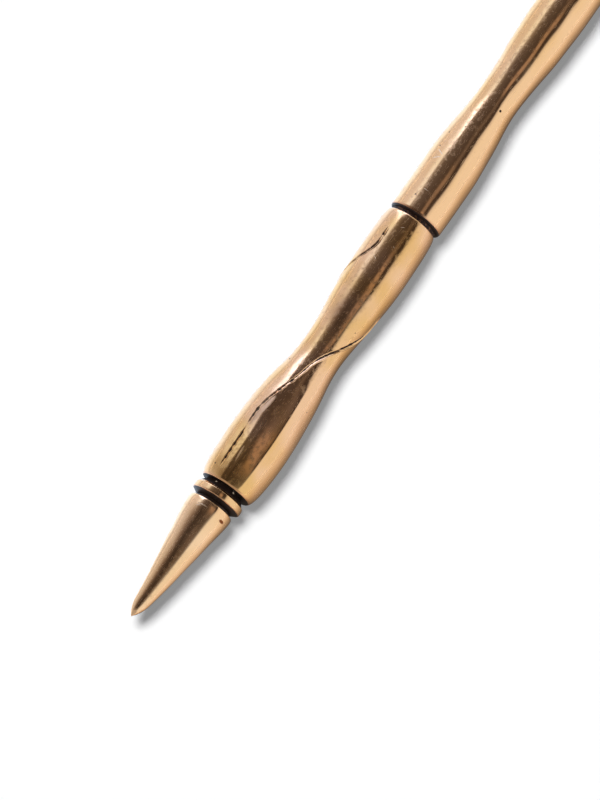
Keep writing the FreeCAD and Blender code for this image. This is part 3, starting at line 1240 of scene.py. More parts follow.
@dataclass
class Bead(TurnedPiece):
    """A bead: hub faces in the grooves, sloping flanks and a rounded crest."""

    node: str
    front: float
    seed: int
    columns: int = 144
    is_ring: bool = True
    width: float = 2.45
    bore_radius: float = 1.54
    hub_radius: float = 2.55
    front_flank: float = 0.5
    crest_width: float = 0.95
    flank_radius: float = 3.38
    crest_radius: float = 3.53
    crest_round: float = 0.16

    # The crest's rims lie this far below its radius, and its middle this far above.
    rim_drop: float = 0.015
    middle_rise: float = 0.012

    # How far past the crest's edge a band ends, and the length over which it fades.
    front_patina: tuple[float, float] = (0.06, 0.12)
    rear_patina: tuple[float, float] = (-0.1, 0.15)
    # This band and its level give a painted pinkish reflection on the crest's front rim.
    front_rim_reflection: tuple[float, float] = (0.2, 0.2)
    rim_reflection_level: float = 0.7

    def crest(self) -> tuple[float, float]:
        """Where the crest starts and ends."""
        start = self.front + self.front_flank
        return start, start + self.crest_width

    def outline(self) -> Outline:
        """Draws the bead as a closed ring round its bore.

        Returns:
            The outline.
        """
        rear = self.front + self.width
        start, end = self.crest()
        rim = self.crest_radius - self.rim_drop
        middle = ((start + end) / 2, self.crest_radius + self.middle_rise)
        return (
            Outline(self.front, self.bore_radius)
            .bend((self.front, self.hub_radius))
            .bend((start, self.flank_radius), pace=0.05)
            .bend((start + 0.05, rim), (start + self.crest_round, rim), pace=0.03)
            .bend(middle, (end - self.crest_round, rim))
            .bend((end - 0.05, rim), (end, self.flank_radius), pace=0.03)
            .bend((rear, self.hub_radius), pace=0.05)
            .bend((rear, self.bore_radius))
        )

    def finish(self) -> PolishedBronze:
        """Polished on its crest, with two painted highlights in the rear groove, drawn as pale
        scratch marks.
        """
        rear = self.front + self.width
        return PolishedBronze(
            f"tin bronze, turned and polished, {self.node}",
            grain_ceiling=0.2,
            marks=(
                # Painted highlights: two pale specks in the rear groove stand for glints of light.
                Mark(MarkKind.SCRATCH, rear - 0.25, -21.0, 2.75, 0.26, 0.26),
                Mark(MarkKind.SCRATCH, rear - 0.2, 36.0, 2.75, 0.34, 0.34),
            ),
        )

    def ripple(self) -> Ripple:
        """A strong ripple round the bead: it was filed by eye."""
        return Ripple(seed=self.seed, height=0.03, shortest=2.5, longest=7.0, lobes=9)

    def worked(
        self, rows: np.ndarray, angles: np.ndarray, radii: np.ndarray
    ) -> tuple[np.ndarray, np.ndarray, np.ndarray]:
        """Leaves patina on the hub faces and the flanks.

        Args:
            rows: The outline's points.
            angles: The angle of each place.
            radii: The radius of each place.

        Returns:
            The new radii, and the shares of patina and of the painted rim reflection.
        """
        along = np.broadcast_to(rows[:, :1], radii.shape)
        start, end = self.crest()
        front = near_face(along, start, self.front_patina)
        rear = near_face(-along, -end, self.rear_patina)
        # Painted reflection: a pinkish tint over the crest's front rim.
        rim_reflection = self.rim_reflection_level * near_face(along, start, self.front_rim_reflection)
        return radii, np.maximum(front, rear), rim_reflection


@dataclass
class IncisedLine:
    """One line that a graver cuts. It drifts round the grip, winds and runs on straight."""

    start: float
    length: float
    first_angle: float
    drift_start: float
    drift_length: float
    drift_angle: float
    wind_start: float
    wind_length: float
    wind_angle: float
    seed: int
    depth: float = 0.1
    half_width: float = 0.18
    taper: float = 1.8

    # How the cut's walls bulge, how dark its shade is, and the shade's half width as shares
    # of the cut's: what it always has, and what pressure adds.
    wall_power: float = 0.85
    shade_level: float = 0.65
    shade_reach: tuple[float, float] = (0.4, 0.3)

    # The burr stands beside the cut, mostly on its rear side, and grows along it.
    burr_height: float = 0.045
    burr_width: float = 0.06
    burr_distance: float = 0.05
    far_burr: float = 0.15
    first_burr: float = 0.25
    burr_start: float = 5.0
    burr_growth: float = 9.0

    # Waves of pressure that an uneven hand gives the cut.
    hand_waves: int = 9
    hand_depth: float = 0.09

    # The skin's columns crowd at the line, over this distance on each side.
    crowd_level: float = 5.0
    crowd_width: float = 0.5
    crowd_lead: float = 3.0

    # Places where the graver jumped, and where it dug in: distance from the tip, half of
    # the length, and how many times its usual depth it cuts there.
    slips: tuple[tuple[float, float, float], ...] = ()

    def angle_at(self, along: np.ndarray) -> np.ndarray:
        """Follows the line's course.

        Args:
            along: Distances from the tip.

        Returns:
            The line's angles from the top, in radians.
        """
        drifted = eased((along - self.drift_start) / self.drift_length)
        wound = eased((along - self.wind_start) / self.wind_length)
        turned = self.drift_angle * drifted + self.wind_angle * wound
        return np.radians(self.first_angle + turned)

    def pressed_at(self, along: np.ndarray) -> np.ndarray:
        """Works out how hard the graver was pressed.

        Args:
            along: Distances from the tip.

        Returns:
            The cut's depths, as shares of its usual depth.
        """
        chance = np.random.RandomState(self.seed)
        gone = along - self.start
        pressed = eased(np.minimum(gone, self.length - gone) / self.taper)
        for _ in range(self.hand_waves):
            length, phase = chance.uniform(0.5, 2.4), chance.uniform(0, 2 * math.pi)
            wave = np.cos(2 * math.pi * along / length + phase)
            pressed = pressed * (1 + self.hand_depth * wave)
        for place, reach, times in self.slips:
            near = eased(1.6 - np.abs(along - place) / reach)
            pressed = pressed * (1 + (times - 1) * near)
        return pressed

    def across(self, along: np.ndarray, angles: np.ndarray, radii: np.ndarray) -> np.ndarray:
        """Measures across the line, square to its course.

        Args:
            along: Distance of each place from the tip.
            angles: Angle of each place.
            radii: Radius of each place.

        Returns:
            Distances from the line's middle, towards growing angles.
        """
        away = np.angle(np.exp(1j * (angles - self.angle_at(along))))
        step = 0.1
        ahead = self.angle_at(along + step / 2) - self.angle_at(along - step / 2)
        return radii * away / np.sqrt(1 + (radii * ahead / step) ** 2)

    def crowding(self, along: np.ndarray, angles: np.ndarray, radius: np.ndarray) -> np.ndarray:
        """Works out how much closer the skin's columns have to stand.

        Args:
            along: Distance of each place from the tip.
            angles: Angle of each place.
            radius: Radius of each row.

        Returns:
            The extra closeness: 0 far from the line.
        """
        gone, lead = along - self.start, self.crowd_lead
        near = eased(np.minimum(gone + lead, self.length + lead - gone) / lead)
        away = np.angle(np.exp(1j * (angles - self.angle_at(along)))) * radius
        return self.crowd_level * near * np.exp(-((away / self.crowd_width) ** 2))

    def cut(
        self, along: np.ndarray, angles: np.ndarray, radii: np.ndarray, shown: np.ndarray
    ) -> tuple[np.ndarray, np.ndarray]:
        """Cuts the line: a valley, a burr thrown up beside it, and patina in its shade.

        Args:
            along: Distance of each place from the tip.
            angles: Angle of each place.
            radii: Radius of each place.
            shown: Where the skin is the grip's outer surface.

        Returns:
            The new radii, and the share of patina.
        """
        pressed = np.where(shown, self.pressed_at(along), 0.0)
        across = self.across(along, angles, radii)
        width = self.half_width * (0.5 + 0.5 * pressed) + 1e-6
        share = np.clip(1 - np.abs(across) / width, 0, 1)
        valley = self.depth * pressed * share ** self.wall_power
        crest = width + self.burr_distance
        lip = np.exp(-(((across - crest) / self.burr_width) ** 2))
        far_lip = self.far_burr * np.exp(-(((across + crest) / self.burr_width) ** 2))
        gone = (along - self.start - self.burr_start) / self.burr_growth
        grown = self.first_burr + (1 - self.first_burr) * eased(gone)
        burr = self.burr_height * grown * np.clip(pressed, 0, 1.2) * (lip + far_lip)
        always, added = self.shade_reach
        reach = (always + added * pressed) * width + 1e-6
        shaded = eased(1.2 - np.abs(across + 0.15 * width) / reach)
        return radii - valley + burr, np.clip(self.shade_level * pressed, 0, 1) * shaded


@dataclass
class Grip(TurnedPiece):
    """The waisted grip with its two incised lines and a socket in each end."""

    node: str = "grip"
    columns: int = 232
    front: float = 20.2
    front_face_radius: float = 3.3
    front_to_belly: float = 7.5
    belly_radius: float = 4.33
    belly_to_waist: float = 14.5
    waist_radius: float = 2.97
    waist_to_swell: float = 13.4
    swell_radius: float = 3.89
    swell_to_rear: float = 7.0
    rear_face_radius: float = 3.4
    front_flatness: tuple[float, float] = (0.85, 0.47)
    belly_flatness: tuple[float, float] = (0.33, 0.14)
    waist_flatness: tuple[float, float] = (0.14, 0.3)
    swell_flatness: tuple[float, float] = (0.45, 0.9)
    socket_radius: float = 1.54
    front_socket: float = 10.0
    rear_socket: float = 9.5
    drill_point: float = 0.93
    line_margin: float = 1.2
    line_length: float = 29.1
    line_step: float = 9.8
    line_step_angle: float = -112.0
    line_start_angle: float = -28.0
    drift_before_waist: float = 12.5
    drift_length: float = 11.0
    drift_angle: float = 33.0
    wind_before_waist: float = 3.6
    wind_length: float = 9.3
    wind_angle: float = 80.0

    # How far past its face a band ends, and the length over which it fades.
    front_patina: tuple[float, float] = (0.1, 0.08)
    rear_patina: tuple[float, float] = (0.06, 0.05)
    # This band and its level give a painted pinkish reflection on the front rim.
    front_rim_reflection: tuple[float, float] = (0.36, 0.2)
    rim_reflection_level: float = 0.6

    # Patina reaches this far over the front face's rim, and rows above the second radius
    # are the grip's outer surface, which the lines are cut in.
    front_patina_rim: float = 0.25
    outer_radius: float = 2.47
    flats: tuple[FiledFlat, ...] = (
        FiledFlat(17.0, 39.0, angle=8.5, half_angle=22.0, strength=0.68, softness=5.0),
        FiledFlat(18.5, 31.0, angle=-22.0, half_angle=20.0, strength=0.75, softness=4.0),
        FiledFlat(41.0, 54.5, angle=6.0, half_angle=13.5, strength=0.5, softness=5.0),
    )
    sway: tuple[tuple[float, float], ...] = (
        (20.2, 0.18),
        (27.0, 0.2),
        (33.0, 0.04),
        (38.0, 0.08),
        (45.5, 0.17),
        (52.0, 0.09),
        (57.0, 0.03),
        (62.6, -0.14),
    )

    def rear(self) -> float:
        """Where the rear face is."""
        lengths = (self.front_to_belly, self.belly_to_waist, self.waist_to_swell)
        return self.front + sum(lengths) + self.swell_to_rear

    def outline(self) -> Outline:
        """Draws the piece from the bottom of one socket to that of the other.

        Returns:
            The outline.
        """
        front_bottom = self.front + self.front_socket
        rear_bottom = self.rear() - self.rear_socket
        return (
            Outline(front_bottom + self.drill_point, 0.0)
            .hidden((front_bottom, self.socket_radius), (self.front, self.socket_radius))
            .bend((self.front, self.front_face_radius))
            .from_face(self.front_to_belly, self.belly_radius, self.front_flatness)
            .ogee(self.belly_to_waist, self.waist_radius, self.belly_flatness)
            .ogee(self.waist_to_swell, self.swell_radius, self.waist_flatness)
            .to_face(self.swell_to_rear, self.rear_face_radius, self.swell_flatness)
            .bend((self.rear(), self.socket_radius))
            .hidden((rear_bottom, self.socket_radius), (rear_bottom - self.drill_point, 0.0))
        )

    def lines(self) -> list[IncisedLine]:
        """Lays out the two incised lines.

        Returns:
            The lines. The second repeats the first further back and round.
        """
        waist = self.front + self.front_to_belly + self.belly_to_waist
        slips = (
            ((27.9, 0.5, 0.1), (30.2, 0.4, 1.25), (41.2, 0.8, 1.4), (45.2, 1.6, 1.8)),
            ((45.0, 0.5, 0.5), (58.2, 0.25, 0.35)),
        )
        return [
            IncisedLine(
                start=self.front + self.line_margin + number * self.line_step,
                length=self.line_length,
                first_angle=self.line_start_angle + number * self.line_step_angle,
                drift_start=waist - self.drift_before_waist + number * self.line_step,
                drift_length=self.drift_length,
                drift_angle=self.drift_angle,
                wind_start=waist - self.wind_before_waist + number * self.line_step,
                wind_length=self.wind_length,
                wind_angle=self.wind_angle,
                seed=5 + number,
                slips=slips[number],
            )
            for number in range(len(slips))
        ]

    def finish(self) -> PolishedBronze:
        """Polished, with a few pits on the belly and cross scratches on the swell."""
        return PolishedBronze(
            "tin bronze, turned and polished, grip",
            peach="#F2C49A",
            straw="#E9B878",
            worn_side=(-2.7, -1.1),
            grain_ceiling=0.36,
            marks=(
                Mark(MarkKind.SCUFF, 30.6, -21.0, 4.25, 5.2, 1.0, 3.0),
                Mark(MarkKind.SCUFF, 31.8, -14.0, 4.2, 3.0, 0.5, 5.0),
                Mark(MarkKind.SCUFF, 24.4, -6.0, 4.25, 2.6, 0.3, -4.0),
                Mark(MarkKind.PIT, 26.6, 59.0, 4.2, 0.22, 0.2),
                Mark(MarkKind.PIT, 33.9, 57.0, 3.9, 0.24, 0.14),
                Mark(MarkKind.SCRATCH, 55.4, -14.0, 3.75, 0.9, 0.1, 125.0),
                Mark(MarkKind.SCRATCH, 60.6, -2.0, 3.6, 0.7, 0.1, 60.0),
                Mark(MarkKind.SCRATCH, 57.8, 6.0, 3.7, 0.5, 0.09, 118.0),
            ),
        )

    def ripple(self) -> Ripple:
        """The long ripple of a piece filed lengthwise."""
        return Ripple(seed=23, height=0.05)

    def angles(self, rows: np.ndarray) -> np.ndarray:
        """Spaces the columns, closer beside the incised lines.

        Args:
            rows: The outline's points.

        Returns:
            The angle of each place.
        """
        dense = np.linspace(-math.pi, math.pi, 1801)
        along = rows[:, :1]
        radius = np.maximum(rows[:, 1:], self.waist_radius)
        crowd = 1 + sum(line.crowding(along, dense[None, :], radius) for line in self.lines())
        summed = np.cumsum((crowd[:, 1:] + crowd[:, :-1]) / 2, axis=1)
        summed = np.concatenate([np.zeros((len(rows), 1)), summed], axis=1)
        shares = np.arange(self.columns) / self.columns
        return np.array([np.interp(shares * row[-1], row, dense) for row in summed])

    def worked(
        self, rows: np.ndarray, angles: np.ndarray, radii: np.ndarray
    ) -> tuple[np.ndarray, np.ndarray, np.ndarray]:
        """Cuts the lines, and leaves patina in them and on the two faces.

        Args:
            rows: The outline's points.
            angles: The angle of each place.
            radii: The radius of each place.

        Returns:
            The new radii, and the shares of patina and of the painted rim reflection.
        """
        along = np.broadcast_to(rows[:, :1], radii.shape)
        forward = np.r_[False, np.diff(rows[:, 0]) > 0][:, None]
        shown = forward & (rows[:, 1:] > self.outer_radius)
        patina = np.zeros_like(radii)
        for line in self.lines():
            radii, shaded = line.cut(along, angles, radii, shown)
            patina = np.maximum(patina, shaded)
        front = near_face(along, self.front, self.front_patina)
        front = front * (radii < self.front_face_radius + self.front_patina_rim)
        rear = near_face(-along, -self.rear(), self.rear_patina)
        rear = rear * (radii < self.rear_face_radius)
        # Painted reflection: a pinkish tint on the front rim.
        rim = self.rim_reflection_level * near_face(along, self.front, self.front_rim_reflection)
        return radii, np.maximum(patina, np.maximum(front, rear)), rim


@dataclass
class Dowel:
    """The dowel between grip and shaft. Its collar shows as a dark ring."""

    node: str = "joint_dowel"

    def dress(self) -> bpy.types.Object:
        """Gives the construction's own solid its finish.

        Returns:
            The node's object.
        """
        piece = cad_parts[self.node]
        material = PatinatedBronze().material()
        piece.data.materials.clear()
        piece.data.materials.append(material)
        piece.visible_diffuse = False
        log.info("%s: kept from the construction, %s", self.node, material.name)
        return piece


@dataclass
class Shaft(TurnedPiece):
    """The waisted shaft, with a socket in each end."""

    node: str = "shaft"
    columns: int = 168
    front: float = 63.1
    front_face_radius: float = 3.4
    face_to_straight: float = 0.65
    straight_length: float = 7.3
    straight_radius: float = 3.74
    straight_to_waist: float = 11.5
    waist_radius: float = 2.89
    waist_to_swell: float = 14.5
    swell_radius: float = 3.64
    swell_to_rear: float = 6.9
    rear_face_radius: float = 3.15
    front_flatness: tuple[float, float] = (0.7, 0.55)
    straight_flatness: tuple[float, float] = (0.25, 0.12)
    waist_flatness: tuple[float, float] = (0.16, 0.29)
    swell_flatness: tuple[float, float] = (0.6, 0.9)
    socket_radius: float = 1.54
    front_socket: float = 9.5
    rear_socket: float = 10.0
    drill_point: float = 0.93

    # How far past its face a band ends, and the length over which it fades.
    front_patina: tuple[float, float] = (0.3, 0.14)
    rear_patina: tuple[float, float] = (0.06, 0.05)
    # This band and its level give a painted pinkish reflection on the front rim.
    front_rim_reflection: tuple[float, float] = (0.5, 0.2)
    rim_reflection_level: float = 0.8
    sway: tuple[tuple[float, float], ...] = (
        (63.1, 0.05),
        (69.0, 0.04),
        (74.5, -0.08),
        (82.0, -0.18),
        (88.0, -0.11),
        (97.0, -0.09),
        (103.0, 0.0),
    )

    def rear(self) -> float:
        """Where the rear face is."""
        lengths = (self.face_to_straight, self.straight_length, self.straight_to_waist)
        return self.front + sum(lengths) + self.waist_to_swell + self.swell_to_rear

    def outline(self) -> Outline:
        """Draws the piece from the bottom of one socket to that of the other.

        Returns:
            The outline.
        """
        front_bottom = self.front + self.front_socket
        rear_bottom = self.rear() - self.rear_socket
        straight_end = self.front + self.face_to_straight + self.straight_length
        return (
            Outline(front_bottom + self.drill_point, 0.0)
            .hidden((front_bottom, self.socket_radius), (self.front, self.socket_radius))
            .bend((self.front, self.front_face_radius))
            .from_face(self.face_to_straight, self.straight_radius, self.front_flatness)
            .bend((straight_end, self.straight_radius), pace=0.16)
            .ogee(self.straight_to_waist, self.waist_radius, self.straight_flatness)
            .ogee(self.waist_to_swell, self.swell_radius, self.waist_flatness)
            .to_face(self.swell_to_rear, self.rear_face_radius, self.swell_flatness)
            .bend((self.rear(), self.socket_radius))
            .hidden((rear_bottom, self.socket_radius), (rear_bottom - self.drill_point, 0.0))
        )

    def finish(self) -> PolishedBronze:
        """Polished, with one deep pit at the waist and a crossed scratch."""
        return PolishedBronze(
            "tin bronze, turned and polished, shaft",
            peach="#F6C898",
            straw="#F2C28B",
            grain_ceiling=0.4,
            marks=(
                Mark(MarkKind.PIT, 80.9, 26.5, 2.77, 0.44, 0.4),
                Mark(MarkKind.SCRATCH, 71.0, -32.0, 3.6, 1.3, 0.2, 60.0),
                Mark(MarkKind.SCRATCH, 71.9, -32.0, 3.6, 1.4, 0.2, 115.0),
                Mark(MarkKind.SCRATCH, 66.5, -8.0, 3.6, 0.8, 0.1, 95.0),
            ),
        )

    def ripple(self) -> Ripple:
        """The long ripple of a piece filed lengthwise."""
        return Ripple(seed=41, height=0.05)

    def worked(
        self, rows: np.ndarray, angles: np.ndarray, radii: np.ndarray
    ) -> tuple[np.ndarray, np.ndarray, np.ndarray]:
        """Leaves patina on the two faces and a painted reflection on the front rim.

        Args:
            rows: The outline's points.
            angles: The angle of each place.
            radii: The radius of each place.

        Returns:
            The new radii, and the shares of patina and of the painted rim reflection.
        """
        along = np.broadcast_to(rows[:, :1], radii.shape)
        front = near_face(along, self.front, self.front_patina)
        rear = near_face(-along, -self.rear(), self.rear_patina)
        rear = rear * (radii < self.rear_face_radius)
        # Painted reflection: a pinkish tint on the front rim.
        rim = self.rim_reflection_level * near_face(along, self.front, self.front_rim_reflection)
        return radii, np.maximum(front, rear), rim


@dataclass
class Eraser:
    """The eraser: shoulder and neck that flatten and flare into a blade, on its tang."""

    node: str = "eraser"
    columns: int = 176
    seat: float = 106.4
    tang_length: float = 11.95
    tang_radius: float = 1.5
    tang_chamfer: float = 0.3
    neck_length: float = 0.35
    neck_radius: float = 2.45
    face_radius: float = 2.7
    face_to_shoulder: float = 1.2
    shoulder_radius: float = 3.0
    shoulder_to_waist: float = 5.3
    waist_radius: float = 2.0
    waist_to_corner: float = 16.7
    half_width: float = 5.3
    corner_round: float = 1.0
    forged_length: float = 12.5
    root_thickness: float = 1.6
    edge_thickness: float = 0.7
    face_flatness: tuple[float, float] = (0.6, 0.5)
    shoulder_flatness: tuple[float, float] = (0.1, 0.3)
    waist_flatness: tuple[float, float] = (0.12, 0.5)
    forge_flatness: tuple[float, float] = (0.3, 0.45)
    slab_room: float = 1.0
    worn_edge: float = 0.1

    # How sharply the hammered faces meet the flare's own edge: higher is sharper.
    edge_power: float = 14.0

    # How closely the skin's columns crowd at the blade's two edges.
    edge_crowding: float = 0.6

    # How many radians of the hammer's ripple the half width spans, and the share of the
    # blade's half thickness that a dent may take.
    ripple_turn: float = 2.4
    deepest_dent: float = 0.4

    def front(self) -> float:
        """Where the shoulder's front face is."""
        return self.seat + self.neck_length

    def outline(self) -> Outline:
        """Draws the eraser as it would be turned if it weren't flattened.

        Returns:
            The outline.
        """
        front = self.front()
        start = self.seat - self.tang_length
        corner = (STYLUS_LENGTH, self.half_width)
        return (
            Outline(start, 0.0)
            .hidden(
                (start, self.tang_radius - self.tang_chamfer),
                (start + self.tang_chamfer, self.tang_radius),
                (self.seat, self.tang_radius),
            )
            .bend((self.seat, self.neck_radius))
            .bend((front, self.neck_radius))
            .bend((front, self.face_radius))
            .from_face(self.face_to_shoulder, self.shoulder_radius, self.face_flatness)
            .ogee(self.shoulder_to_waist, self.waist_radius, self.shoulder_flatness)
            .ogee(self.waist_to_corner, self.half_width, self.waist_flatness)
            .bend(corner, (STYLUS_LENGTH, self.half_width - self.corner_round), pace=0.05)
            .bend((STYLUS_LENGTH, 0.0), pace=0.4)
        )

    def half_height(self, along: np.ndarray) -> np.ndarray:
        """Follows the hammered faces: a bend from the shoulder to the blade, then a taper.

        Args:
            along: Distances from the tip.

        Returns:
            Half of the thickness between the faces.
        """
        front, root = self.front(), self.front() + self.forged_length
        leaving, arriving = self.forge_flatness
        slope = (self.root_thickness - self.edge_thickness) / 2 / (STYLUS_LENGTH - root)
        top = self.shoulder_radius + self.slab_room
        level = self.root_thickness / 2
        lean = level + slope * arriving * self.forged_length
        share = np.linspace(0, 1, 400)
        places = front + self.forged_length * (
            3 * share * (1 - share) ** 2 * leaving
            + 3 * share ** 2 * (1 - share) * (1 - arriving)
            + share ** 3
        )
        heights = (
            (1 - share) ** 3 * top
            + 3 * share * (1 - share) ** 2 * top
            + 3 * share ** 2 * (1 - share) * lean
            + share ** 3 * level
        )
        curved = np.interp(along, places, heights)
        worn = np.clip((along - STYLUS_LENGTH + self.worn_edge) / self.worn_edge, 0, 1)
        thinned = self.worn_edge * (1 - np.sqrt(1 - worn ** 2))
        straight = level - slope * (along - root) - thinned
        return np.where(along < root, curved, straight)

    def section(self, radius: float, height: float) -> tuple[np.ndarray, np.ndarray]:
        """One closed section of the eraser.

        Args:
            radius: Radius of the turned outline there.
            height: Half of the thickness that the hammering leaves.

        Returns:
            Sideways and upward places, evenly spaced round the section.
        """
        angle = np.linspace(-math.pi, math.pi, 1441)
        side, rise = radius * np.sin(angle), radius * np.cos(angle)
        rise = rise / (1 + np.abs(rise / height) ** self.edge_power) ** (1 / self.edge_power)
        steps = np.hypot(np.diff(side), np.diff(rise))
        bends = np.abs(np.diff(np.unwrap(np.arctan2(np.diff(rise), np.diff(side))), prepend=0))
        bends[0] = 0
        weight = steps + self.edge_crowding * bends * min(height, radius)
        gone = np.r_[0, np.cumsum(weight)]
        shares = gone[-1] * np.arange(self.columns) / self.columns
        return np.interp(shares, gone, side), np.interp(shares, gone, rise)

    def finish(self) -> PolishedBronze:
        """Polished."""
        return PolishedBronze("tin bronze, forged and polished, eraser")

    def dress(self) -> bpy.types.Object:
        """Builds the eraser, gives it its finish and sets it in the frame.

        Returns:
            The finished object.
        """
        rows = self.outline().rows()
        along = np.broadcast_to(rows[:, :1], (len(rows), self.columns))
        unforged = rows[:, 0] < self.front()
        heights = np.where(unforged, STYLUS_LENGTH, self.half_height(rows[:, 0]))
        side, rise = np.zeros(along.shape), np.zeros(along.shape)
        for number, (radius, height) in enumerate(zip(rows[:, 1], heights)):
            if radius > 0:
                side[number], rise[number] = self.section(radius, height)
        outer = handworked(rows) * (rows[:, :1] > self.seat)
        hammered = Ripple(seed=61, height=0.05, shortest=2.6, longest=8.0)
        turn = side / self.half_width * self.ripple_turn + np.sign(rise)
        dent = outer * hammered.depth_at(along, turn)
        spread = np.hypot(side, rise) + 1e-9
        flat = np.clip(1 - np.abs(rise) / spread, 0, 1)
        side = side * (1 - (1 - flat) * dent / spread)
        rise = rise - np.sign(rise) * np.minimum(dent, np.abs(rise) * self.deepest_dent)
        places = np.stack((along - STYLUS_LENGTH / 2, side, AXIS_HEIGHT + rise), axis=-1)
        face = eased((self.front() + 0.02 - along) / 0.04)
        patina = face * eased((self.face_radius + 0.1 - spread) / 0.15)
        skin = Skin(f"{self.node}_skin", places, patina, np.zeros_like(patina))
        return settle(skin.build(), self.node, self.finish().material())


@dataclass(frozen=True)
class SoftBox:
    """A lamp of the tent, by its limits as the stylus's axis sees it, in degrees.

    `tilt` is measured from the upright towards the eraser, and `turn` from overhead
    towards -Y. Each limit is a pair of angles between which the lamp's edge fades. The near
    edge leans: it lies `lean` degrees further back for each degree past `pivot`.
    """

    near: tuple[float, float]
    far: tuple[float, float]
    first: tuple[float, float]
    last: tuple[float, float]
    colour: tuple[float, float, float]
    lean: float = 0.0
    pivot: float = -56.0


@dataclass
class Tent:
    """The white tent over the stylus, as the polished metal mirrors it.

    It has a long gap over the stylus, with the rig's brown and grey parts in it. Each stop
    is an angle from overhead towards -Y, in degrees, and the tent's colour there, once for
    the directions that tilt towards the tip and once for those that tilt to the eraser.
    """

    front_stops: tuple[tuple[float, str], ...] = (
        (-180.0, "#E7EFFF"),
        (-90.0, "#DFE6F3"),
        (-65.0, "#C4C4C8"),
        (-45.0, "#89817E"),
        (-30.0, "#5D5552"),
        (-5.0, "#3F3835"),
        (14.0, "#55504D"),
        (26.0, "#868686"),
        (36.0, "#C4CAD0"),
        (46.0, "#F6FDFF"),
        (90.0, "#FAFEFF"),
    )
    rear_stops: tuple[tuple[float, str], ...] = (
        (-180.0, "#E7ECFA"),
        (-80.0, "#E5E8F7"),
        (-50.0, "#E5EAF7"),
        (-40.0, "#959397"),
        (-27.0, "#655F61"),
        (-2.0, "#524B4B"),
        (5.0, "#504845"),
        (14.0, "#736A67"),
        (24.0, "#453C38"),
        (34.0, "#453F3F"),
        (40.0, "#E2E3E5"),
        (52.0, "#FAFDFD"),
        (90.0, "#F9FCFF"),
    )

    # Tilts towards the eraser between which the first colours pass into the second.
    middle: tuple[float, float] = (-2.0, 8.0)
    soft_boxes: tuple[SoftBox, ...] = (
        SoftBox((1.0, 12.0), (76.0, 70.0), (-68.0, -54.0), (-41.0, -48.0), (1.0, 1.16, 1.4)),
        SoftBox(
            (20.0, 28.0), (82.0, 74.0), (-112.0, -98.0), (-42.0, -46.0), (2.0, 2.3, 3.3), 0.31
        ),
        SoftBox((-9.0, 9.0), (18.0, 11.0), (5.0, 10.0), (23.0, 18.0), (0.42, 0.32, 0.26)),
    )

    # Tilts at which the gap ends, how softly it does, and the tent's level past each end.
    gap: tuple[float, float] = (-38.0, 52.0)
    gap_softness: float = 10.0
    front_level: float = 0.5
    rear_level: float = 0.8

    # The level of the world's light on all that isn't polished metal.
    plain_level: float = 0.216

    def lit(
        self,
        tree: bpy.types.NodeTree,
        box: SoftBox,
        tilt: bpy.types.NodeSocket,
        turn: bpy.types.NodeSocket,
    ) -> bpy.types.NodeSocket:
        """Finds how far each direction lies inside one soft box.

        Args:
            tree: The world's node tree.
            box: The soft box.
            tilt: The direction's tilt, in degrees.
            turn: The direction's turn, in degrees.

        Returns:
            A share: 1 inside the box, 0 outside.
        """
        leaning = add_node(
            tree,
            "ShaderNodeMath",
            {0: turn, 1: box.lean, 2: -box.pivot * box.lean},
            operation="MULTIPLY_ADD",
        )
        near = add_node(
            tree, "ShaderNodeMath", {0: tilt, 1: leaning.outputs[0]}, operation="ADD"
        ).outputs[0]
        share: Any = 1.0
        limits = ((near, box.near), (tilt, box.far), (turn, box.first), (turn, box.last))
        for value, (start, end) in limits:
            inside = add_node(
                tree,
                "ShaderNodeMapRange",
                {"Value": value, "From Min": start, "From Max": end},
                interpolation_type="SMOOTHSTEP",
            )
            share = add_node(
                tree, "ShaderNodeMath", {0: inside.outputs[0], 1: share}, operation="MULTIPLY"
            ).outputs[0]
        return share

    def mirrored(
        self, tree: bpy.types.NodeTree, direction: bpy.types.NodeSocket
    ) -> bpy.types.NodeSocket:
        """Draws the tent and its lamps as polished metal mirrors them.

        Args:
            tree: The world's node tree.
            direction: The direction that the metal looks in.

        Returns:
            The colour in each direction.
        """
        parts = add_node(tree, "ShaderNodeSeparateXYZ", {0: direction}).outputs
        towards_front = add_node(
            tree, "ShaderNodeMath", {0: parts[1], 1: -1.0}, operation="MULTIPLY"
        )
        turned = add_node(
            tree,
            "ShaderNodeMath",
            {0: towards_front.outputs[0], 1: parts[2]},
            operation="ARCTAN2",
        )
        tilted = add_node(tree, "ShaderNodeMath", {0: parts[0]}, operation="ARCSINE")
        turn, tilt = (
            add_node(tree, "ShaderNodeMath", {0: angle.outputs[0]}, operation="DEGREES").outputs[0]
            for angle in (turned, tilted)
        )
        round_share = add_node(
            tree, "ShaderNodeMapRange", {"Value": turn, "From Min": -180.0, "From Max": 180.0}
        )
        seen, rear = (
            add_node(
                tree,
                "ShaderNodeValToRGB",
                {0: round_share.outputs[0]},
                stops=[((angle + 180) / 360, to_linear(colour)) for angle, colour in stops],
            ).outputs[0]
            for stops in (self.front_stops, self.rear_stops)
        )
        front_end, rear_end = self.gap
        beyond = [
            (self.middle, rear),
            ((front_end, front_end - self.gap_softness), grey(self.front_level)),
            ((rear_end, rear_end + self.gap_softness), grey(self.rear_level)),
        ]
        layers = []
        for (start, end), colour in beyond:
            gone = add_node(
                tree,
                "ShaderNodeMapRange",
                {"Value": tilt, "From Min": start, "From Max": end},
                interpolation_type="SMOOTHSTEP",
            )
            layers.append((gone.outputs[0], colour))
        for box in self.soft_boxes:
            layers.append((self.lit(tree, box, tilt, turn), (*box.colour, 1.0)))
        for share, colour in layers:
            seen = add_node(
                tree, "ShaderNodeMix", {0: share, 6: seen, 7: colour}, data_type="RGBA"
            ).outputs[2]
        return seen

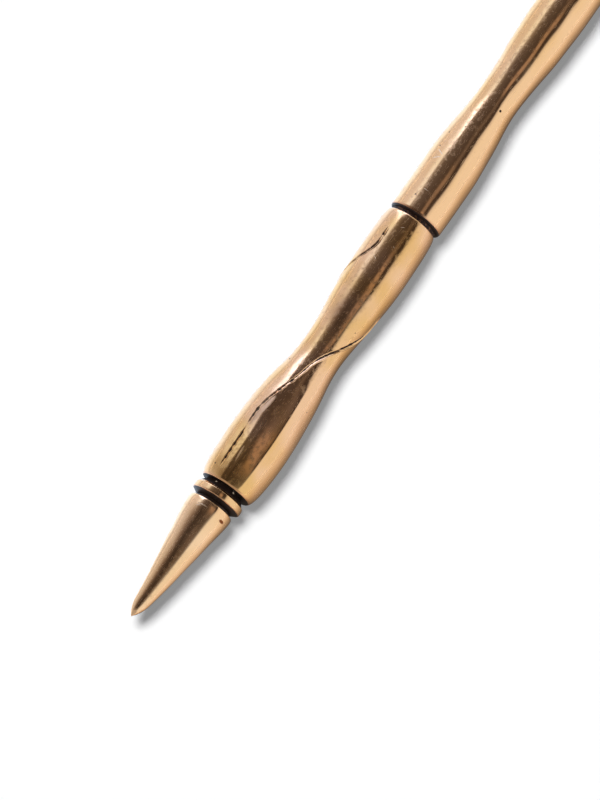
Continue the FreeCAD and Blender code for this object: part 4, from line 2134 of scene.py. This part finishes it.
    def build(self) -> None:
        """Builds the world: white to the camera, the tent to metal, plain grey to the rest."""
        world = bpy.data.worlds.new("tent")
        bpy.context.scene.world = world
        world.use_nodes = True
        tree = world.node_tree
        tree.nodes.clear()
        direction = add_node(tree, "ShaderNodeTexCoord").outputs["Generated"]
        rays = add_node(tree, "ShaderNodeLightPath")
        to_metal = add_node(
            tree,
            "ShaderNodeMix",
            {
                0: rays.outputs["Is Glossy Ray"],
                6: grey(self.plain_level),
                7: self.mirrored(tree, direction),
            },
            data_type="RGBA",
        )
        to_camera = add_node(
            tree,
            "ShaderNodeMath",
            {0: rays.outputs["Is Camera Ray"], 1: rays.outputs["Is Transmission Ray"]},
            operation="MAXIMUM",
        )
        seen = add_node(
            tree,
            "ShaderNodeMix",
            {0: to_camera.outputs[0], 6: to_metal.outputs[2], 7: grey(1.0)},
            data_type="RGBA",
        )
        background = add_node(
            tree, "ShaderNodeBackground", {"Color": seen.outputs[2], "Strength": 1.0}
        )
        add_node(tree, "ShaderNodeOutputWorld", {"Surface": background.outputs[0]})


@dataclass
class Studio:
    """The white sweep, a painted reflection of its tones and of the stylus's shadow, the tent, the
    key lamp and the camera.

    Sizes and places are in metres, angles in degrees, the lens and its sensor in
    millimetres, and levels are shares of white.
    """

    sweep_size: float = 2.0
    sweep_white: float = 0.95
    sweep_glow: float = 0.06
    key_level: float = 0.79
    key_spread: float = 20.5
    key_direction: tuple[float, float, float] = (0.0, 0.198, 0.98)
    elevation: float = 75.0
    azimuth: float = 34.381
    distance: float = 0.70625
    lens: float = 250.0
    sensor: float = 36.0
    aim: tuple[float, float, float] = (-0.03023, -0.00134, 0.00433)

    # Distances from under the stylus towards +Y, in millimetres, and the colour there as a share
    # of the sheet's level: a painted reflection of the paper, dark where it paints the stylus's
    # shadow.
    painted_reflection_tones: tuple[tuple[float, str], ...] = (
        (-70.0, "#B9B9B9"),
        (-25.0, "#AFACAA"),
        (-14.0, "#9D958D"),
        (-8.0, "#797167"),
        (-4.0, "#48423C"),
        (0.0, "#3C3835"),
        (6.0, "#CBDAED"),
        (14.0, "#CBDAEA"),
        (32.0, "#A2A6AF"),
        (70.0, "#A2A5AF"),
    )
    painted_reflection_level: float = 2.0

    # The sheet's half length and its height over the sweep, and how much closer its tones
    # lie beside the tip, fading out between two places along the stylus.
    sheet_half_length: float = 0.4
    sheet_height: float = 3e-5
    tip_closeness: float = 0.45
    tip_places: tuple[float, float] = (-0.058, -0.046)
    tent: Tent = field(default_factory=Tent)

    def build(self) -> None:
        """Builds the whole studio."""
        self.tent.build()
        self.sweep()
        self.painted_reflection_sheet()
        self.key_lamp()
        self.camera()

    def sweep(self) -> None:
        """The white paper that the stylus lies on, which keeps its shadow."""
        half = self.sweep_size / 2
        material, tree = new_material("white paper sweep")
        paper = add_node(
            tree, "ShaderNodeBsdfDiffuse", {"Color": grey(self.sweep_white), "Roughness": 0.0}
        )
        rays = add_node(tree, "ShaderNodeLightPath").outputs
        direct = rays["Is Camera Ray"]
        for other in ("Is Glossy Ray", "Is Transmission Ray"):
            direct = add_node(
                tree, "ShaderNodeMath", {0: direct, 1: rays[other]}, operation="MAXIMUM"
            ).outputs[0]
        strength = add_node(
            tree, "ShaderNodeMath", {0: direct, 1: self.sweep_glow}, operation="MULTIPLY"
        )
        glow = add_node(
            tree, "ShaderNodeEmission", {"Color": grey(1.0), "Strength": strength.outputs[0]}
        )
        both = add_node(tree, "ShaderNodeAddShader", {0: paper.outputs[0], 1: glow.outputs[0]})
        add_node(tree, "ShaderNodeOutputMaterial", {"Surface": both.outputs[0]})
        self.stand("sweep", (half, half, 0.0), material)

    def painted_reflection_sheet(self) -> None:
        """A painted reflection of the paper beside the stylus, with its shadow painted dark, that
        only the metal sees.
        """
        reach = self.painted_reflection_tones[-1][0]
        half = MILLIMETRE * reach
        tip, full = self.tip_places
        material, tree = new_material("painted reflection and shadow beside the stylus")
        place = add_node(tree, "ShaderNodeTexCoord").outputs["Object"]
        parts = add_node(tree, "ShaderNodeSeparateXYZ", {0: place})
        width = add_node(
            tree,
            "ShaderNodeMapRange",
            {
                "Value": parts.outputs[0],
                "From Min": tip,
                "From Max": full,
                "To Min": self.tip_closeness,
            },
            interpolation_type="SMOOTHSTEP",
        )
        across = add_node(
            tree,
            "ShaderNodeMath",
            {0: parts.outputs[1], 1: width.outputs[0]},
            operation="DIVIDE",
        )
        share = add_node(
            tree,
            "ShaderNodeMapRange",
            {"Value": across.outputs[0], "From Min": -half, "From Max": half},
        )
        painted_tone = add_node(
            tree,
            "ShaderNodeValToRGB",
            {0: share.outputs[0]},
            stops=[
                (0.5 + 0.5 * side / reach, to_linear(colour)) for side, colour in self.painted_reflection_tones
            ],
        )
        # The sheet glows, though it is no lamp: a painted reflection, with the shadow painted in
        # its dark middle.
        glow = add_node(
            tree, "ShaderNodeEmission", {"Color": painted_tone.outputs[0], "Strength": self.painted_reflection_level}
        )
        add_node(tree, "ShaderNodeOutputMaterial", {"Surface": glow.outputs[0]})
        sizes = (self.sheet_half_length, half, self.sheet_height)
        sheet = self.stand("painted_reflection_sheet", sizes, material)
        sheet.visible_camera = False
        sheet.visible_diffuse = False
        sheet.visible_shadow = False

    def stand(
        self, name: str, sizes: tuple[float, float, float], material: bpy.types.Material
    ) -> bpy.types.Object:
        """Sets up one level sheet of the studio.

        Args:
            name: The sheet's name.
            sizes: Its half length, half width and height over the floor, in metres.
            material: Its material.

        Returns:
            The sheet.
        """
        long, wide, high = sizes
        corners = [(-long, -wide, high), (long, -wide, high), (long, wide, high)]
        corners.append((-long, wide, high))
        mesh = bpy.data.meshes.new(name)
        mesh.from_pydata(corners, [], [(0, 1, 2, 3)])
        mesh.materials.append(material)
        sheet = bpy.data.objects.new(name, mesh)
        bpy.context.scene.collection.objects.link(sheet)
        return sheet

    def key_lamp(self) -> None:
        """The wide key lamp, which throws the soft shadow. The metal mirrors the tent."""
        data = bpy.data.lights.new("key", "SUN")
        data.energy = self.key_level * math.pi / self.key_direction[2]
        data.angle = math.radians(self.key_spread)
        lamp = bpy.data.objects.new("key", data)
        lamp.rotation_mode = "QUATERNION"
        lamp.rotation_quaternion = Vector(self.key_direction).to_track_quat("Z", "Y")
        lamp.visible_glossy = False
        bpy.context.scene.collection.objects.link(lamp)

    def camera(self) -> None:
        """The camera, high over the stylus's tip side, with a long lens."""
        turn, rise = math.radians(self.azimuth), math.radians(self.elevation)
        look = Vector(
            (
                math.cos(turn) * math.cos(rise),
                math.sin(turn) * math.cos(rise),
                -math.sin(rise),
            )
        )
        data = bpy.data.cameras.new("camera")
        data.lens = self.lens
        data.sensor_width = self.sensor
        data.clip_start, data.clip_end = 0.01, 10.0
        camera = bpy.data.objects.new("camera", data)
        camera.rotation_mode = "QUATERNION"
        camera.rotation_quaternion = look.to_track_quat("-Z", "Y")
        camera.location = Vector(self.aim) - look * self.distance
        bpy.context.scene.collection.objects.link(camera)
        bpy.context.scene.camera = camera


def main() -> None:
    """Dresses the pieces from the tip backwards, and sets up the studio."""
    logging.basicConfig(level=logging.INFO, format="%(name)s: %(message)s")
    bpy.context.scene.view_settings.view_transform = "Standard"
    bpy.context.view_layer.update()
    shaft = Shaft()
    pieces = (
        WritingPoint(),
        Bead(node="point_bead", front=17.75, seed=17),
        Grip(),
        Dowel(),
        shaft,
        Bead(node="eraser_bead", front=shaft.rear(), seed=53),
        Eraser(),
    )
    for piece in pieces:
        piece.dress()
    Studio().build()


if __name__ == "__main__":
    main()
